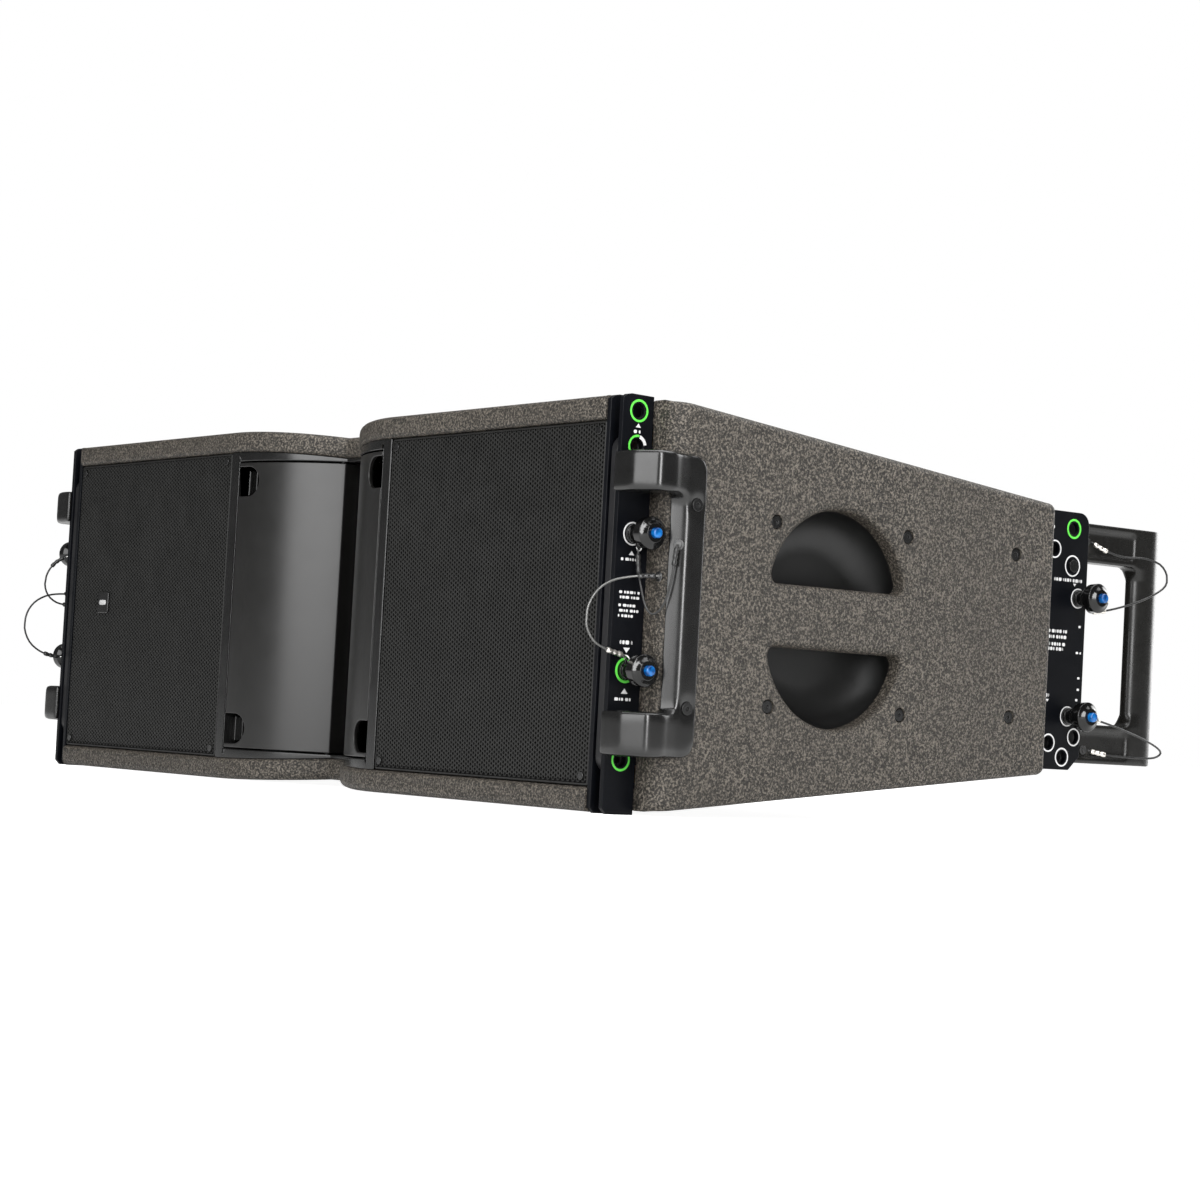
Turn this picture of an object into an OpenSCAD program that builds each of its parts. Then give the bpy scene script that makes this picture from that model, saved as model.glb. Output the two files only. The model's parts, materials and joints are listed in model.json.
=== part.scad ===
// Line array speaker: a wedge-shaped cabinet with a V-shaped horn mouth between two woofers, steel rigging
// plates with captive link arms at both ends, quick-release pins on wire lanyards, bumpers and handles.
// X runs across the cabinet, Y from front to back and Z up. All drawing is done about the middle of the
// side walls, at mid height, and placed() moves it to the shared frame.

/* [Cabinet] */
// Height of the front edge
front_h = 354; // [350:1:358]
// Width over the side walls
body_w = 1072; // [1068:1:1076]
// Depth of the side walls
body_d = 490; // [486:1:494]
// Angle by which the top and the bottom each fall towards the back
taper = 5.9; // [5.5:0.1:6.1]
// Thickness of the coated plywood panels
panel_t = 21; // [18:1:22]
// Radius by which the front edge curves back to the throat
v_radius = 173; // [170:1:176]
// Half width of the flat between the two curves
v_flat = 18; // [17:1:18]

/* [Rigging] */
// Thickness of each steel rigging plate
plate_t = 5; // [4:0.5:5]
// Width of the channel between a pair of plates
channel_w = 12; // [11:0.5:12]
// Diameter of the quick-release pins
pin_d = 12; // [10:0.5:12]
// How far a front link arm slides up
front_travel = 72; // [60:1:72]
// How far a rear link arm slides down
rear_travel = 45; // [40:1:45]

/* [Front] */
// Distance of the horn frame's outer edge from the middle
horn_half_w = 148; // [146:1:150]
// Thickness of the grille sheet
grille_t = 1.5; // [1:0.5:2]
// Width of the wire lanyards
lanyard_d = 2; // [1.5:0.5:2]

/* [Handles] */
// Radius of the two half-moon hand openings
moon_r = 81; // [78:1:82]
// Height of the grip bar between the half-moons
grip_h = 55; // [50:1:58]
// How far the rear handles stand behind the side walls
handle_reach = 213; // [208:1:215]

/* [Hidden] */

// Coat and part colours
coat = [0.33, 0.30, 0.27];
black = [0.07, 0.07, 0.08];
steel_black = [0.12, 0.12, 0.14];
wood = [0.72, 0.58, 0.40];
silver = [0.75, 0.75, 0.76];
blue = [0.05, 0.35, 0.85];

// Clearances: between parts that touch, and between a shaft and its bore
seam = 0.2;
running = 0.05;
round_fn = 64;

// Main planes
half_h = front_h / 2;
half_w = body_w / 2;
front_y = -body_d / 2;
rear_y = body_d / 2;
panel_front_y = front_y - 2.5;
panel_v = panel_t / cos(taper);
board_t = 18;

// Rigging planes, measured from the middle
plate_out = half_w - 34;
plate_in = plate_out - 2 * plate_t - channel_w;
notch_y = front_y + 33;
wall_inner = half_w - board_t;
rib_inner = plate_out + seam;
rib_d = 32;
wall_round = 20;

// Front plate holes: height of each, all on one line
front_hole_y = front_y + 17;
front_link_top_z = 163;
front_stow_z = 133;
front_upper_z = 59;
front_lower_z = -56;
front_low_z = -131;
front_hole_zs = [front_link_top_z, front_stow_z, front_upper_z, front_lower_z, front_low_z];
front_plate_back = -120;
front_plate_inner_z = 135;

// Rear plate holes as [y, z]
rear_upper = [314.5, 43];
rear_lower = [307, -70];
rear_link_hole = [302, -109];
rear_top_hole = [305, 109];
rear_angle_holes = [[280, 88], [317, -89.5], [283, -96]];
rear_badge_screw = [305, 73.5];
rear_plate_end = 326;
rear_plate_start = 130;
rear_plate_inner_z = 90;
rear_plate_top = 125;
rear_plate_bottom = -121;

// Grilles and horn
grille_in = horn_half_w + 1.5;
grille_out = plate_in - 1;
fin_gap = 1.5;
fin_t = 4;
frame_border = 14;
fin_axis = [27, -186];
fin_pin_r = 3;
fin_pin_reach = 4.5;
skin_inset = 3;
notch_r = 15;
notch_z = 125;

// Drivers
woofer_x = 306;
woofer_r = 149;
woofer_y = front_y + 20;
mid_c = [82, -137];
mid_z = 71.5;
mid_r = 71;
mid_turn = 53;
driver_z = 66;

// Handle cups
cup_y = -20;
cup_r = 98;
cup_floor = half_w - 52;
moon_z = 15;
moon_corner = 8;
cup_screws = [[-97.5, 79.5], [57.5, 79.5], [-97.5, -79.5], [57.5, -79.5]];
wall_screws = [[194.5, 75], [194.5, -75]];

// Bumpers
bumper_top = 128;
bumper_front = front_y - 5;
flange_x = half_w + 5;
flange_back = -179;
window_top = 93;
window_bottom = -90;
window_back = -196;
skin_start = [half_w - 8.5, notch_y + 0.5];
skin_end = [flange_x, bumper_front + 50];
skin_lean = atan2(skin_end[0] - skin_start[0], skin_end[1] - skin_start[1]);
skin_eyelet = 0.4 * skin_start + 0.6 * skin_end;
bumper_screws = [[-190, 85.5], [-190, -85.5]];
bumper_inner = plate_out - 4;
bumper_sink = 3;

// Rear handles
handle_out = plate_in - 1;
handle_t = 21;
handle_end = rear_y + handle_reach;
handle_bar_y = handle_end - 38;
handle_top = 119;
handle_bottom = -114;
handle_arm_h = 38;
handle_base_y = 288;
pocket_depth = 3;
pocket_rim = 6;
pocket_end_gap = 2;

// Pins, measured along X from the outer plate's face
pin_r = pin_d / 2;
pin_tip = -28.5;
collar_end = 3.5;
neck_r = 6.5;
neck_end = 14;
head_r = 14;
head_end = 31;
button_bore = 13;
spindle_bore_end = -16;
button_r = 4.5;
button_out = 5;
button_stroke = 4;
spindle_r = 2;
tab_x = 9;
tab_reach = 12.5;

// Half heights that follow the tapered panels
grille_half_h = surf_z(front_y + 9) - panel_v - seam;
fin_half_h = surf_z(fin_axis[1]) - panel_v - 5.3;
waveguide_z = surf_z(-32) - panel_v - 5;

front_end = bumper_front;
centre_shift = -(front_end + handle_end) / 2;

// Lanyard routes, from the eyelet to just off the pin's tab, as they run at the right-hand end
route_front_upper_right = [[538.5, -208.5, 51], [538.5, -210, 42], [538, -211, 30], [536.5, -212.5, 16],
  [533.5, -214.5, 3], [529, -217, -5.5], [523.5, -220, -8], [518.5, -223, -2], [515, -225.5, 12],
  [512, -227.5, 28], [511, -228, 45]];
route_front_lower_right = [[526, -216.5, 24], [522, -228, 23.5], [516.5, -241, 21.5], [512.5, -255, 17.5],
  [511, -268, 9], [510.5, -276.5, -4], [510.5, -278, -20], [510.5, -270, -33], [511, -257, -39.5],
  [511, -244, -42.5], [511, -236.2, -44.2]];
route_front_upper_left = [[524, -216.5, 2], [526, -229, 1.5], [526, -243, 3.5], [524, -255, 11],
  [521, -261, 23], [517.5, -260, 36], [514, -253, 47.5], [511, -242, 54.8]];
route_front_lower_left = [[524, -216.5, 16], [523.5, -230, 14], [521, -247, 12.5], [517, -262, 9],
  [514, -276, 1], [512, -285, -11.5], [511.5, -287, -28], [511.5, -280, -43], [511.5, -267, -52.5],
  [511, -253, -56.5], [511, -242, -57.5]];
route_rear_upper = [[478.5, 354.5, 101], [486, 365, 94], [494, 383, 88.5], [503, 403, 88.5],
  [509, 420, 84], [511, 428.5, 74], [512, 426, 63], [512.5, 410, 53.5], [512.5, 388, 45], [512, 364, 38],
  [511.5, 342, 33], [511, 322.5, 30.5]];
route_rear_lower = [[478.5, 362.5, -101], [486, 375, -104], [492, 394, -105.5], [498, 415, -106],
  [503.5, 430, -105], [508, 434.5, -100], [510.5, 424, -94], [512, 400, -86.5], [512.5, 370, -79],
  [512, 345, -73.5], [511, 321.5, -70.3]];

// Height of the tapered top surface above the mid plane
function surf_z(y) = half_h - (y - panel_front_y) * tan(taper);

// n + 1 points on an arc
function arc_points(c, r, a0, a1, n) = [for (i = [0:n]) c + r * [cos(a0 + (a1 - a0) * i / n),
  sin(a0 + (a1 - a0) * i / n)]];

// Outline of a rounded rectangle
function round_rect(p, q, r) = concat(
  arc_points([p[0] + r, p[1] + r], r, 180, 270, 8), arc_points([q[0] - r, p[1] + r], r, 270, 360, 8),
  arc_points([q[0] - r, q[1] - r], r, 0, 90, 8), arc_points([p[0] + r, q[1] - r], r, 90, 180, 8));

// The front edge in plan, for x from 0 outwards: a flat beside the throat, then a curve into the flat front
v_start = 146;
function v_y(x, set_back) = panel_front_y + set_back + v_radius
  - sqrt(pow(v_radius, 2) - pow(v_start - x, 2));
function v_half(set_back) = concat([[0, v_y(v_flat, set_back)]],
  arc_points([v_start, panel_front_y + v_radius + set_back], v_radius,
    -90 - asin((v_start - v_flat) / v_radius), -90, 24));
function mirrored(points) = [for (i = [len(points) - 1:-1:0]) [-points[i][0], points[i][1]]];

module placed() {
  translate([0, centre_shift, half_h]) children();
}

// Draws the right-hand part, or its mirror image for the left-hand end
module on_side(side) {
  if (side == "left") mirror([1, 0, 0]) children();
  else children();
}

// Extrudes a (y, z) outline along X
module along_x(x0, x1) {
  translate([x0, 0, 0]) rotate([90, 0, 90]) linear_extrude(x1 - x0) children();
}

// The cabinet's wedge, with both tapered faces moved in by an amount
module wedge(inset = 0) {
  y0 = panel_front_y - 10;
  y1 = rear_y + 10;
  along_x(-half_w - 20, half_w + 20)
    polygon([[y0, -surf_z(y0) + inset], [y0, surf_z(y0) - inset], [y1, surf_z(y1) - inset],
      [y1, -surf_z(y1) + inset]]);
}

module tall() {
  translate([0, 0, -half_h - 10]) linear_extrude(2 * half_h + 20) children();
}

// Plan of the top and bottom panels: V-shaped front edge, notched corners, and cut back round the walls
module panel_plan() {
  inner_x = plate_in - seam;
  half = concat(v_half(0), [[inner_x, panel_front_y], [inner_x, notch_y + seam],
    [plate_out, notch_y + seam], [plate_out, notch_y + rib_d + seam],
    [wall_inner - seam, notch_y + rib_d + seam], [wall_inner - seam, rear_y - rib_d - seam],
    [plate_out, rear_y - rib_d - seam], [plate_out, rear_y]]);
  polygon(concat(half, mirrored(half)));
}

// The top panel about the mid plane; the bottom panel is its mirror image
module tapered_panel() {
  color(coat) difference() {
    intersection() {
      linear_extrude(half_h + 10) panel_plan();
      wedge();
    }
    wedge(panel_v);
  }
}

module top_panel() {
  placed() tapered_panel();
}

module bottom_panel() {
  placed() mirror([0, 0, 1]) tapered_panel();
}

// One half-moon hand opening in (y, z), flat side down
module moon() {
  flat = grip_h / 2;
  corner_z = flat + moon_corner;
  rise = corner_z - moon_z;
  reach = sqrt(pow(moon_r - moon_corner, 2) - rise * rise);
  lean = atan2(rise, reach);
  translate([cup_y, 0]) polygon(concat(
    arc_points([reach, corner_z], moon_corner, -90, lean, 8),
    arc_points([0, moon_z], moon_r, lean, 180 - lean, 40),
    arc_points([-reach, corner_z], moon_corner, 180 - lean, 270, 8)));
}

module side_wall() {
  corner = [half_w - wall_round, notch_y + wall_round];
  color(coat) difference() {
    intersection() {
      tall() polygon(concat([[rib_inner, notch_y]], arc_points(corner, wall_round, -90, 0, 10),
        arc_points([half_w - 5, rear_y - 5], 5, 0, 90, 4),
        [[rib_inner, rear_y], [rib_inner, rear_y - rib_d], [wall_inner, rear_y - rib_d],
        [wall_inner, notch_y + rib_d], [rib_inner, notch_y + rib_d]]));
      wedge();
    }
    along_x(wall_inner - 1, half_w + 1) moon();
    along_x(wall_inner - 1, half_w + 1) mirror([0, 1]) moon();
    for (p = concat(cup_screws, wall_screws)) side_screw_hole(p, half_w);
    for (p = bumper_screws) translate([rib_inner - 1, p[0], p[1]]) rotate([0, 90, 0])
      cylinder(r = screw_r + running, h = half_w, $fn = round_fn);
  }
}

module side_wall_left() {
  placed() on_side("left") side_wall();
}

module side_wall_right() {
  placed() side_wall();
}

// A sunk screw: shank radius, head radius and head height
screw_r = 3;
screw_head_r = 5.5;
screw_head_h = 4;
low_head_h = 2.4;
module side_screw_hole(p, face) {
  translate([wall_inner - 1, p[0], p[1]]) rotate([0, 90, 0])
    cylinder(r = screw_r + running, h = half_w, $fn = round_fn);
  translate([face - screw_head_h - 1, p[0], p[1]]) rotate([0, 90, 0])
    cylinder(r = screw_head_r + 1, h = screw_head_h + 2, $fn = round_fn);
}

module side_screw(p, head_face, head_h, tip) {
  translate([tip, p[0], p[1]]) rotate([0, 90, 0]) difference() {
    union() {
      cylinder(r = screw_r, h = head_face - head_h - tip, $fn = round_fn);
      translate([0, 0, head_face - head_h - tip]) cylinder(r = screw_head_r, h = head_h, $fn = round_fn);
    }
    translate([0, 0, head_face - tip - 2]) cylinder(r = 2, h = 3, $fn = 6);
  }
}

module side_screws() {
  placed() color(black) for (side = ["left", "right"]) on_side(side) {
    for (p = cup_screws) side_screw(p, half_w - 1, screw_head_h, wall_inner - 2.8);
    for (p = wall_screws) side_screw(p, half_w - 1, screw_head_h, wall_inner);
    for (p = bumper_screws)
      side_screw(p, flange_x - bumper_sink + low_head_h + seam / 2, low_head_h, half_w - 30);
  }
}

module inner_walls() {
  placed() color(wood) for (side = ["left", "right"]) on_side(side) difference() {
    intersection() {
      translate([plate_in - board_t, front_y + 9, -half_h])
        cube([board_t, rear_y - front_y - 9 - board_t, 2 * half_h]);
      wedge(panel_v + seam);
    }
    for (z = [front_upper_z, front_lower_z]) translate([plate_in - 10, front_hole_y, z])
      rotate([0, 90, 0]) cylinder(r = pin_r + 2, h = 12, $fn = round_fn);
    for (z = [-grille_screw_z, grille_screw_z]) translate([grille_screw_xs[1], front_y, z])
      rotate([-90, 0, 0]) cylinder(r = grille_screw_r + running, h = grille_screw_reach + 3, $fn = round_fn);
    for (p = wall_bolts) translate([plate_in - board_t - 1, p[0], p[1]]) rotate([0, 90, 0])
      cylinder(r = bolt_r + running, h = board_t + 2, $fn = round_fn);
  }
}

module rear_panel() {
  placed() color(coat) difference() {
    intersection() {
      translate([-plate_in, rear_y - board_t + seam, -half_h])
        cube([2 * plate_in, board_t - seam, 2 * half_h]);
      wedge(panel_v + seam);
    }
    translate([-socket_plate[0] / 2 + 12, rear_y - board_t - 1, -socket_plate[1] / 2 + 8])
      cube([socket_plate[0] - 24, board_t + 2, socket_plate[1] - 16]);
  }
}

module driver_baffles() {
  placed() color(wood) for (side = ["left", "right"]) on_side(side) {
    difference() {
      intersection() {
        translate([horn_half_w + 1, woofer_y, -half_h])
          cube([plate_in - board_t - seam - horn_half_w - 1, board_t, 2 * half_h]);
        wedge(panel_v + seam);
      }
      translate([woofer_x, woofer_y - 1, 0]) rotate([-90, 0, 0])
        cylinder(r = woofer_r - 9, h = board_t + 2, $fn = round_fn);
    }
    difference() {
      intersection() {
        mid_place() translate([-78, 0, -half_h]) cube([156, 12, 2 * half_h]);
        wedge(panel_v + seam);
      }
      for (z = [-mid_z, mid_z]) translate([0, 0, z]) mid_place() translate([0, -1, 0])
        rotate([-90, 0, 0]) cylinder(r = mid_r - 7, h = 14, $fn = round_fn);
    }
  }
}

// Moves its children so that their -Y side faces the throat from one flank
module mid_place() {
  translate([mid_c[0], mid_c[1], 0]) rotate([0, 0, -mid_turn]) children();
}

module bracing() {
  placed() color(wood) for (x = [-172, 172]) difference() {
    intersection() {
      translate([x - 6, -96, -half_h]) cube([12, rear_y - board_t + 95.8, 2 * half_h]);
      wedge(panel_v + seam);
    }
    for (y = [0, 130]) translate([x - 7, y, 0]) rotate([0, 90, 0])
      cylinder(r = 50, h = 14, $fn = round_fn);
  }
}

// A grille: a shallow tray, open at the back
module grille() {
  h = grille_half_h;
  translate([0, front_y + 1, 0]) difference() {
    translate([grille_in, 0, -h]) cube([grille_out - grille_in, 8, 2 * h]);
    translate([grille_in + grille_t, grille_t, -h + grille_t])
      cube([grille_out - grille_in - 2 * grille_t, 8, 2 * h - 2 * grille_t]);
    for (x = grille_screw_xs, z = [-grille_screw_z, grille_screw_z]) translate([x, -1, z])
      rotate([-90, 0, 0]) cylinder(r = grille_screw_r + running, h = 4, $fn = round_fn);
  }
}

grille_screw_xs = [horn_half_w + 10, plate_in - 10];
grille_screw_z = grille_half_h - 8;
grille_screw_r = 2;
grille_screw_reach = 17;

module grille_left() {
  placed() color(black) on_side("left") grille();
}

module grille_right() {
  placed() color(black) grille();
}

module grille_cloths() {
  placed() color([0.03, 0.03, 0.03]) for (side = ["left", "right"]) on_side(side)
    difference() {
      translate([grille_in + 2, front_y + 3, 2 - grille_half_h])
        cube([grille_out - grille_in - 4, 3, 2 * grille_half_h - 4]);
      for (x = grille_screw_xs, z = [-grille_screw_z, grille_screw_z])
        translate([x, front_y + 2, z]) rotate([-90, 0, 0]) cylinder(r = 3, h = 5, $fn = round_fn);
    }
}

module grille_screws() {
  placed() color(black) for (side = ["left", "right"]) on_side(side)
    for (x = grille_screw_xs, z = [-grille_screw_z, grille_screw_z])
      translate([x, front_y + 1 - 1.6, z]) rotate([-90, 0, 0]) {
        cylinder(r = 3.6, h = 1.6, $fn = round_fn);
        translate([0, 0, 1.6]) cylinder(r = grille_screw_r, h = grille_screw_reach - 1, $fn = round_fn);
      }
}

// Region between two copies of the V-shaped front edge
module v_band(near, far, reach) {
  out = concat(v_half(near), [[reach, panel_front_y + near]]);
  back = concat(v_half(far), [[reach, panel_front_y + far]]);
  difference() {
    polygon(concat(out, [[reach, 0]], mirrored(concat(out, [[reach, 0]]))));
    polygon(concat(back, [[reach + 1, panel_front_y + far], [reach + 1, 1]],
      mirrored(concat(back, [[reach + 1, panel_front_y + far], [reach + 1, 1]]))));
  }
}

// Moulded frame of the horn mouth, with catch blocks behind the fins' finger notches
module horn_frame() {
  opening = horn_half_w - frame_border;
  placed() color(black) difference() {
    union() {
      difference() {
        intersection() {
          tall() v_band(skin_inset, skin_inset + 24, horn_half_w);
          translate([-horn_half_w, panel_front_y, -half_h]) cube([2 * horn_half_w, 100, 2 * half_h]);
          wedge(panel_v + seam);
        }
        translate([-opening, panel_front_y - 1, -fin_half_h - fin_gap])
          cube([2 * opening, 100, 2 * (fin_half_h + fin_gap)]);
      }
      for (side = ["left", "right"], z = [-notch_z, notch_z]) on_side(side)
        translate([opening - 14, panel_front_y + 17, z - 12]) cube([15, 10, 24]);
    }
    for (side = ["left", "right"]) on_side(side) translate([fin_axis[0], fin_axis[1], -half_h])
      cylinder(r = fin_pin_r + running, h = 2 * half_h, $fn = round_fn);
    for (x = [-horn_half_w + 8, horn_half_w - 8], z = [-60, 60])
      translate([x, panel_front_y + 10, z]) rotate([-90, 0, 0])
        cylinder(r = 2.5, h = 30, $fn = round_fn);
  }
}

// Fin: a curved blade that follows the V, a throat lip behind its hinge, and hinge pins above and below
module fin() {
  edge = horn_half_w - frame_border - fin_gap;
  lip_x = fin_axis[0] - 8;
  heel_x = lip_x + 12;
  front = [for (p = v_half(skin_inset)) if (p[0] > lip_x && p[0] < edge) p];
  back = [for (i = [len(front) - 1:-1:0]) if (front[i][0] > heel_x + 2) front[i] + [0, fin_t + 0.4]];
  edge_y = v_y(edge, skin_inset);
  blade = concat([[lip_x, v_y(lip_x, skin_inset)]], front, [[edge, edge_y], [edge, edge_y + fin_t]], back,
    [[heel_x, fin_axis[1]], [lip_x + 5, -160], [lip_x, -160]]);
  color(black) {
    difference() {
      union() {
        translate([0, 0, -fin_half_h]) linear_extrude(2 * fin_half_h) polygon(blade);
        translate([fin_axis[0], fin_axis[1], -fin_half_h])
          cylinder(r = 7, h = 2 * fin_half_h, $fn = round_fn);
        translate([fin_axis[0], fin_axis[1], -fin_half_h - fin_pin_reach])
          cylinder(r = fin_pin_r, h = 2 * (fin_half_h + fin_pin_reach), $fn = round_fn);
      }
      for (z = [-notch_z, notch_z]) translate([edge - notch_r, panel_front_y - 5, z]) {
        rotate([-90, 0, 0]) cylinder(r = notch_r, h = 30, $fn = round_fn);
        translate([0, 0, -notch_r]) cube([notch_r + 1, 30, 2 * notch_r]);
      }
    }
  }
}

module horn_fin_left() {
  placed() on_side("left") fin();
}

module horn_fin_right() {
  placed() fin();
}

// Waveguide: one tall slot at the mouth, fed by two round throats
module waveguide() {
  placed() color(black) difference() {
    union() {
      translate([-15, -172, -waveguide_z]) cube([30, 140, 2 * waveguide_z]);
      for (z = [-driver_z, driver_z]) translate([0, -40, z]) rotate([-90, 0, 0])
        cylinder(r = 34, h = 42, $fn = round_fn);
    }
    translate([-11, -173, 4 - waveguide_z]) cube([22, 121, 2 * waveguide_z - 8]);
    for (z = [-driver_z, driver_z]) translate([0, -60, z]) rotate([-90, 0, 0])
      cylinder(r = 17.8, h = 63, $fn = round_fn);
  }
}

module compression_drivers() {
  placed() color(silver) for (z = [-driver_z, driver_z]) translate([0, 2 + seam, z])
    rotate([-90, 0, 0]) difference() {
      union() {
        cylinder(r = 40, h = 14, $fn = round_fn);
        translate([0, 0, 14]) cylinder(r = 50, h = 34, $fn = round_fn);
        translate([0, 0, 48]) cylinder(r = 42, h = 10, $fn = round_fn);
      }
      translate([0, 0, -1]) cylinder(r = 17.8, h = 20, $fn = round_fn);
    }
}

// Drivers are drawn about their own axis: flange at z = 0, magnet towards +z
module basket(r, depth, back_r, flange_t) {
  rotate_extrude($fn = 96) polygon([[r - 12, 0], [r, 0], [r, flange_t], [r - 10, flange_t],
    [back_r + 8, depth], [back_r - 22, depth], [back_r - 22, depth - 3], [back_r + 2, depth - 3],
    [r - 14, flange_t]]);
}

module cone(r, depth, dust_r) {
  rotate_extrude($fn = 96) polygon([[r, 0], [r - 4, -2.5], [r - 9, -2.5], [r - 13, 1], [dust_r, depth - 2],
    [dust_r * 0.6, depth - 8], [0, depth - 10], [0, depth - 8], [dust_r * 0.6, depth - 6],
    [dust_r, depth + 1], [dust_r, depth + 12], [dust_r + 2, depth + 12], [dust_r + 2, depth],
    [r - 12, 3], [r, 2]]);
}

module woofer_place() {
  for (x = [-woofer_x, woofer_x]) translate([x, woofer_y - seam, 0]) rotate([-90, 0, 0]) children();
}

module woofer_baskets() {
  placed() color([0.2, 0.2, 0.21]) woofer_place() translate([0, 0, -6]) basket(woofer_r, 102, 62, 6);
}

module woofer_cones() {
  placed() color(black) woofer_place() translate([0, 0, -2 + seam]) cone(woofer_r - 15, 62, 38);
}

module woofer_magnets() {
  placed() color(silver) woofer_place() translate([0, 0, 96 + seam]) difference() {
    cylinder(r = 72, h = 46, $fn = round_fn);
    translate([0, 0, -1]) cylinder(r = 12, h = 60, $fn = round_fn);
  }
}

module mid_units() {
  for (side = ["left", "right"], z = [-mid_z, mid_z]) on_side(side) translate([0, 0, z])
    mid_place() translate([0, -seam, 0]) rotate([-90, 0, 0]) children();
}

module mid_driver_frames() {
  placed() color([0.2, 0.2, 0.21]) mid_units() translate([0, 0, -4]) {
    basket(mid_r - 0.5, 44, 34, 4);
    translate([0, 0, 44 - seam / 2]) cylinder(r = 40, h = 20, $fn = round_fn);
  }
}

module mid_driver_cones() {
  placed() color(black) mid_units() translate([0, 0, -1.5]) cone(mid_r - 16, 24, 15);
}

// Rear connector plate with two round sockets
socket_plate = [170, 84];
module connector_plate() {
  placed() color(steel_black) translate([0, rear_y + seam, 0]) difference() {
    union() {
      translate([-socket_plate[0] / 2, 0, -socket_plate[1] / 2]) cube([socket_plate[0], 3, socket_plate[1]]);
      for (x = [-35, 35]) translate([x, -30, 0]) rotate([-90, 0, 0])
        cylinder(r = 14, h = 37, $fn = round_fn);
      for (x = [-35, 35]) translate([x - 17, 3, -17]) cube([34, 2, 34]);
    }
    for (x = [-35, 35]) translate([x, -24, 0]) rotate([-90, 0, 0]) difference() {
      cylinder(r = 11.5, h = 40, $fn = round_fn);
      cylinder(r = 7, h = 26, $fn = round_fn);
    }
    for (x = [-78, 78], z = [-35, 35]) translate([x, -1, z]) rotate([-90, 0, 0])
      cylinder(r = 2.2, h = 5, $fn = round_fn);
  }
}

// Bumper: a block over the plates at the front corner with a window for the pins, and a flange on the wall
module bumper() {
  centre = [half_w - wall_round, notch_y + wall_round];
  gap_r = wall_round + seam;
  bulge_x = flange_x + 7;
  flange = [skin_end, [flange_x, flange_back + 2], [flange_x - 2, flange_back],
    [half_w + seam, flange_back]];
  skin = concat([skin_start], flange, arc_points(centre, gap_r, 0, -57, 8));
  arm = concat([[bumper_inner, bumper_front], [522, bumper_front]],
    arc_points([522, bumper_front + 12], 12, -90, -55, 4),
    arc_points([bulge_x - 12, bumper_front + 18], 12, -35, 0, 4),
    arc_points([bulge_x - 14, bumper_front + 26], 14, 0, 35, 4), flange,
    arc_points(centre, gap_r, 0, -90, 10), [[plate_out + 0.5, notch_y - seam],
    [plate_out + 0.5, front_y - 0.5], [bumper_inner, front_y - 0.5]]);
  color(black) difference() {
    intersection() {
      union() {
        difference() {
          translate([0, 0, -bumper_top]) linear_extrude(2 * bumper_top) polygon(arm);
          along_x(half_w - 60, half_w + 30)
            polygon(round_rect([bumper_front - 40, window_bottom], [window_back, window_top], 16));
        }
        translate([0, 0, -bumper_top]) linear_extrude(2 * bumper_top) polygon(skin);
      }
      along_x(half_w - 60, half_w + 30)
        polygon(round_rect([bumper_front - 20, -bumper_top], [flange_back, bumper_top], 14));
    }
    for (p = bumper_screws) {
      translate([half_w - 1, p[0], p[1]]) rotate([0, 90, 0])
        cylinder(r = screw_r + running, h = 20, $fn = round_fn);
      translate([flange_x - bumper_sink, p[0], p[1]]) rotate([0, 90, 0])
        cylinder(r = screw_head_r + 1, h = 20, $fn = round_fn);
    }
  }
}

module bumper_left() {
  placed() on_side("left") bumper();
}

module bumper_right() {
  placed() bumper();
}

// Handle cup: a bowl behind the side wall with a flange against the wall's inner face
module handle_cup() {
  wall = 3;
  depth = wall_inner - cup_floor;
  outer = [for (i = [0:10]) [58 + (cup_r + wall - 58) * cos(9 * i), depth * sin(9 * i)]];
  inner = [for (i = [10:-1:0]) [58 + (cup_r - 58) * cos(9 * i), (depth - wall) * sin(9 * i)]];
  color(black) difference() {
    translate([wall_inner - seam, cup_y, 0]) rotate([0, -90, 0]) rotate_extrude($fn = 96)
      polygon(concat([[cup_r + 20, 0], [cup_r + 20, wall], [cup_r + wall + 1, wall]], outer,
        [[0, depth], [0, depth - wall]], inner));
    for (p = cup_screws) translate([wall_inner - 10, p[0], p[1]]) rotate([0, 90, 0])
      cylinder(r = screw_r + running, h = 12, $fn = round_fn);
  }
}

module handle_cup_left() {
  placed() on_side("left") handle_cup();
}

module handle_cup_right() {
  placed() handle_cup();
}

// Outline of a front rigging plate in (y, z)
module front_plate_outline() {
  polygon([[front_y + 5, -half_h], [notch_y - seam, -half_h], [notch_y - seam, -front_plate_inner_z],
    [front_plate_back, -front_plate_inner_z + 6], [front_plate_back, front_plate_inner_z - 6],
    [notch_y - seam, front_plate_inner_z], [notch_y - seam, half_h - 0.5], [front_y + 9, half_h],
    [front_y + 4, half_h - 1], [front_y, half_h - 4], [front_y, -half_h + 5]]);
}

module rear_plate_outline() {
  inner = rear_plate_inner_z;
  polygon(concat([[rear_plate_start, -inner], [rear_y + 1, -inner], [rear_y + 1, rear_plate_bottom],
    [rear_plate_end - 14, rear_plate_bottom], [rear_plate_end, rear_plate_bottom + 13]],
    arc_points([rear_plate_end - 12, rear_plate_top - 12], 12, 0, 90, 6),
    [[rear_y + 1, rear_plate_top], [rear_y + 1, inner], [rear_plate_start, inner]]));
}

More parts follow.
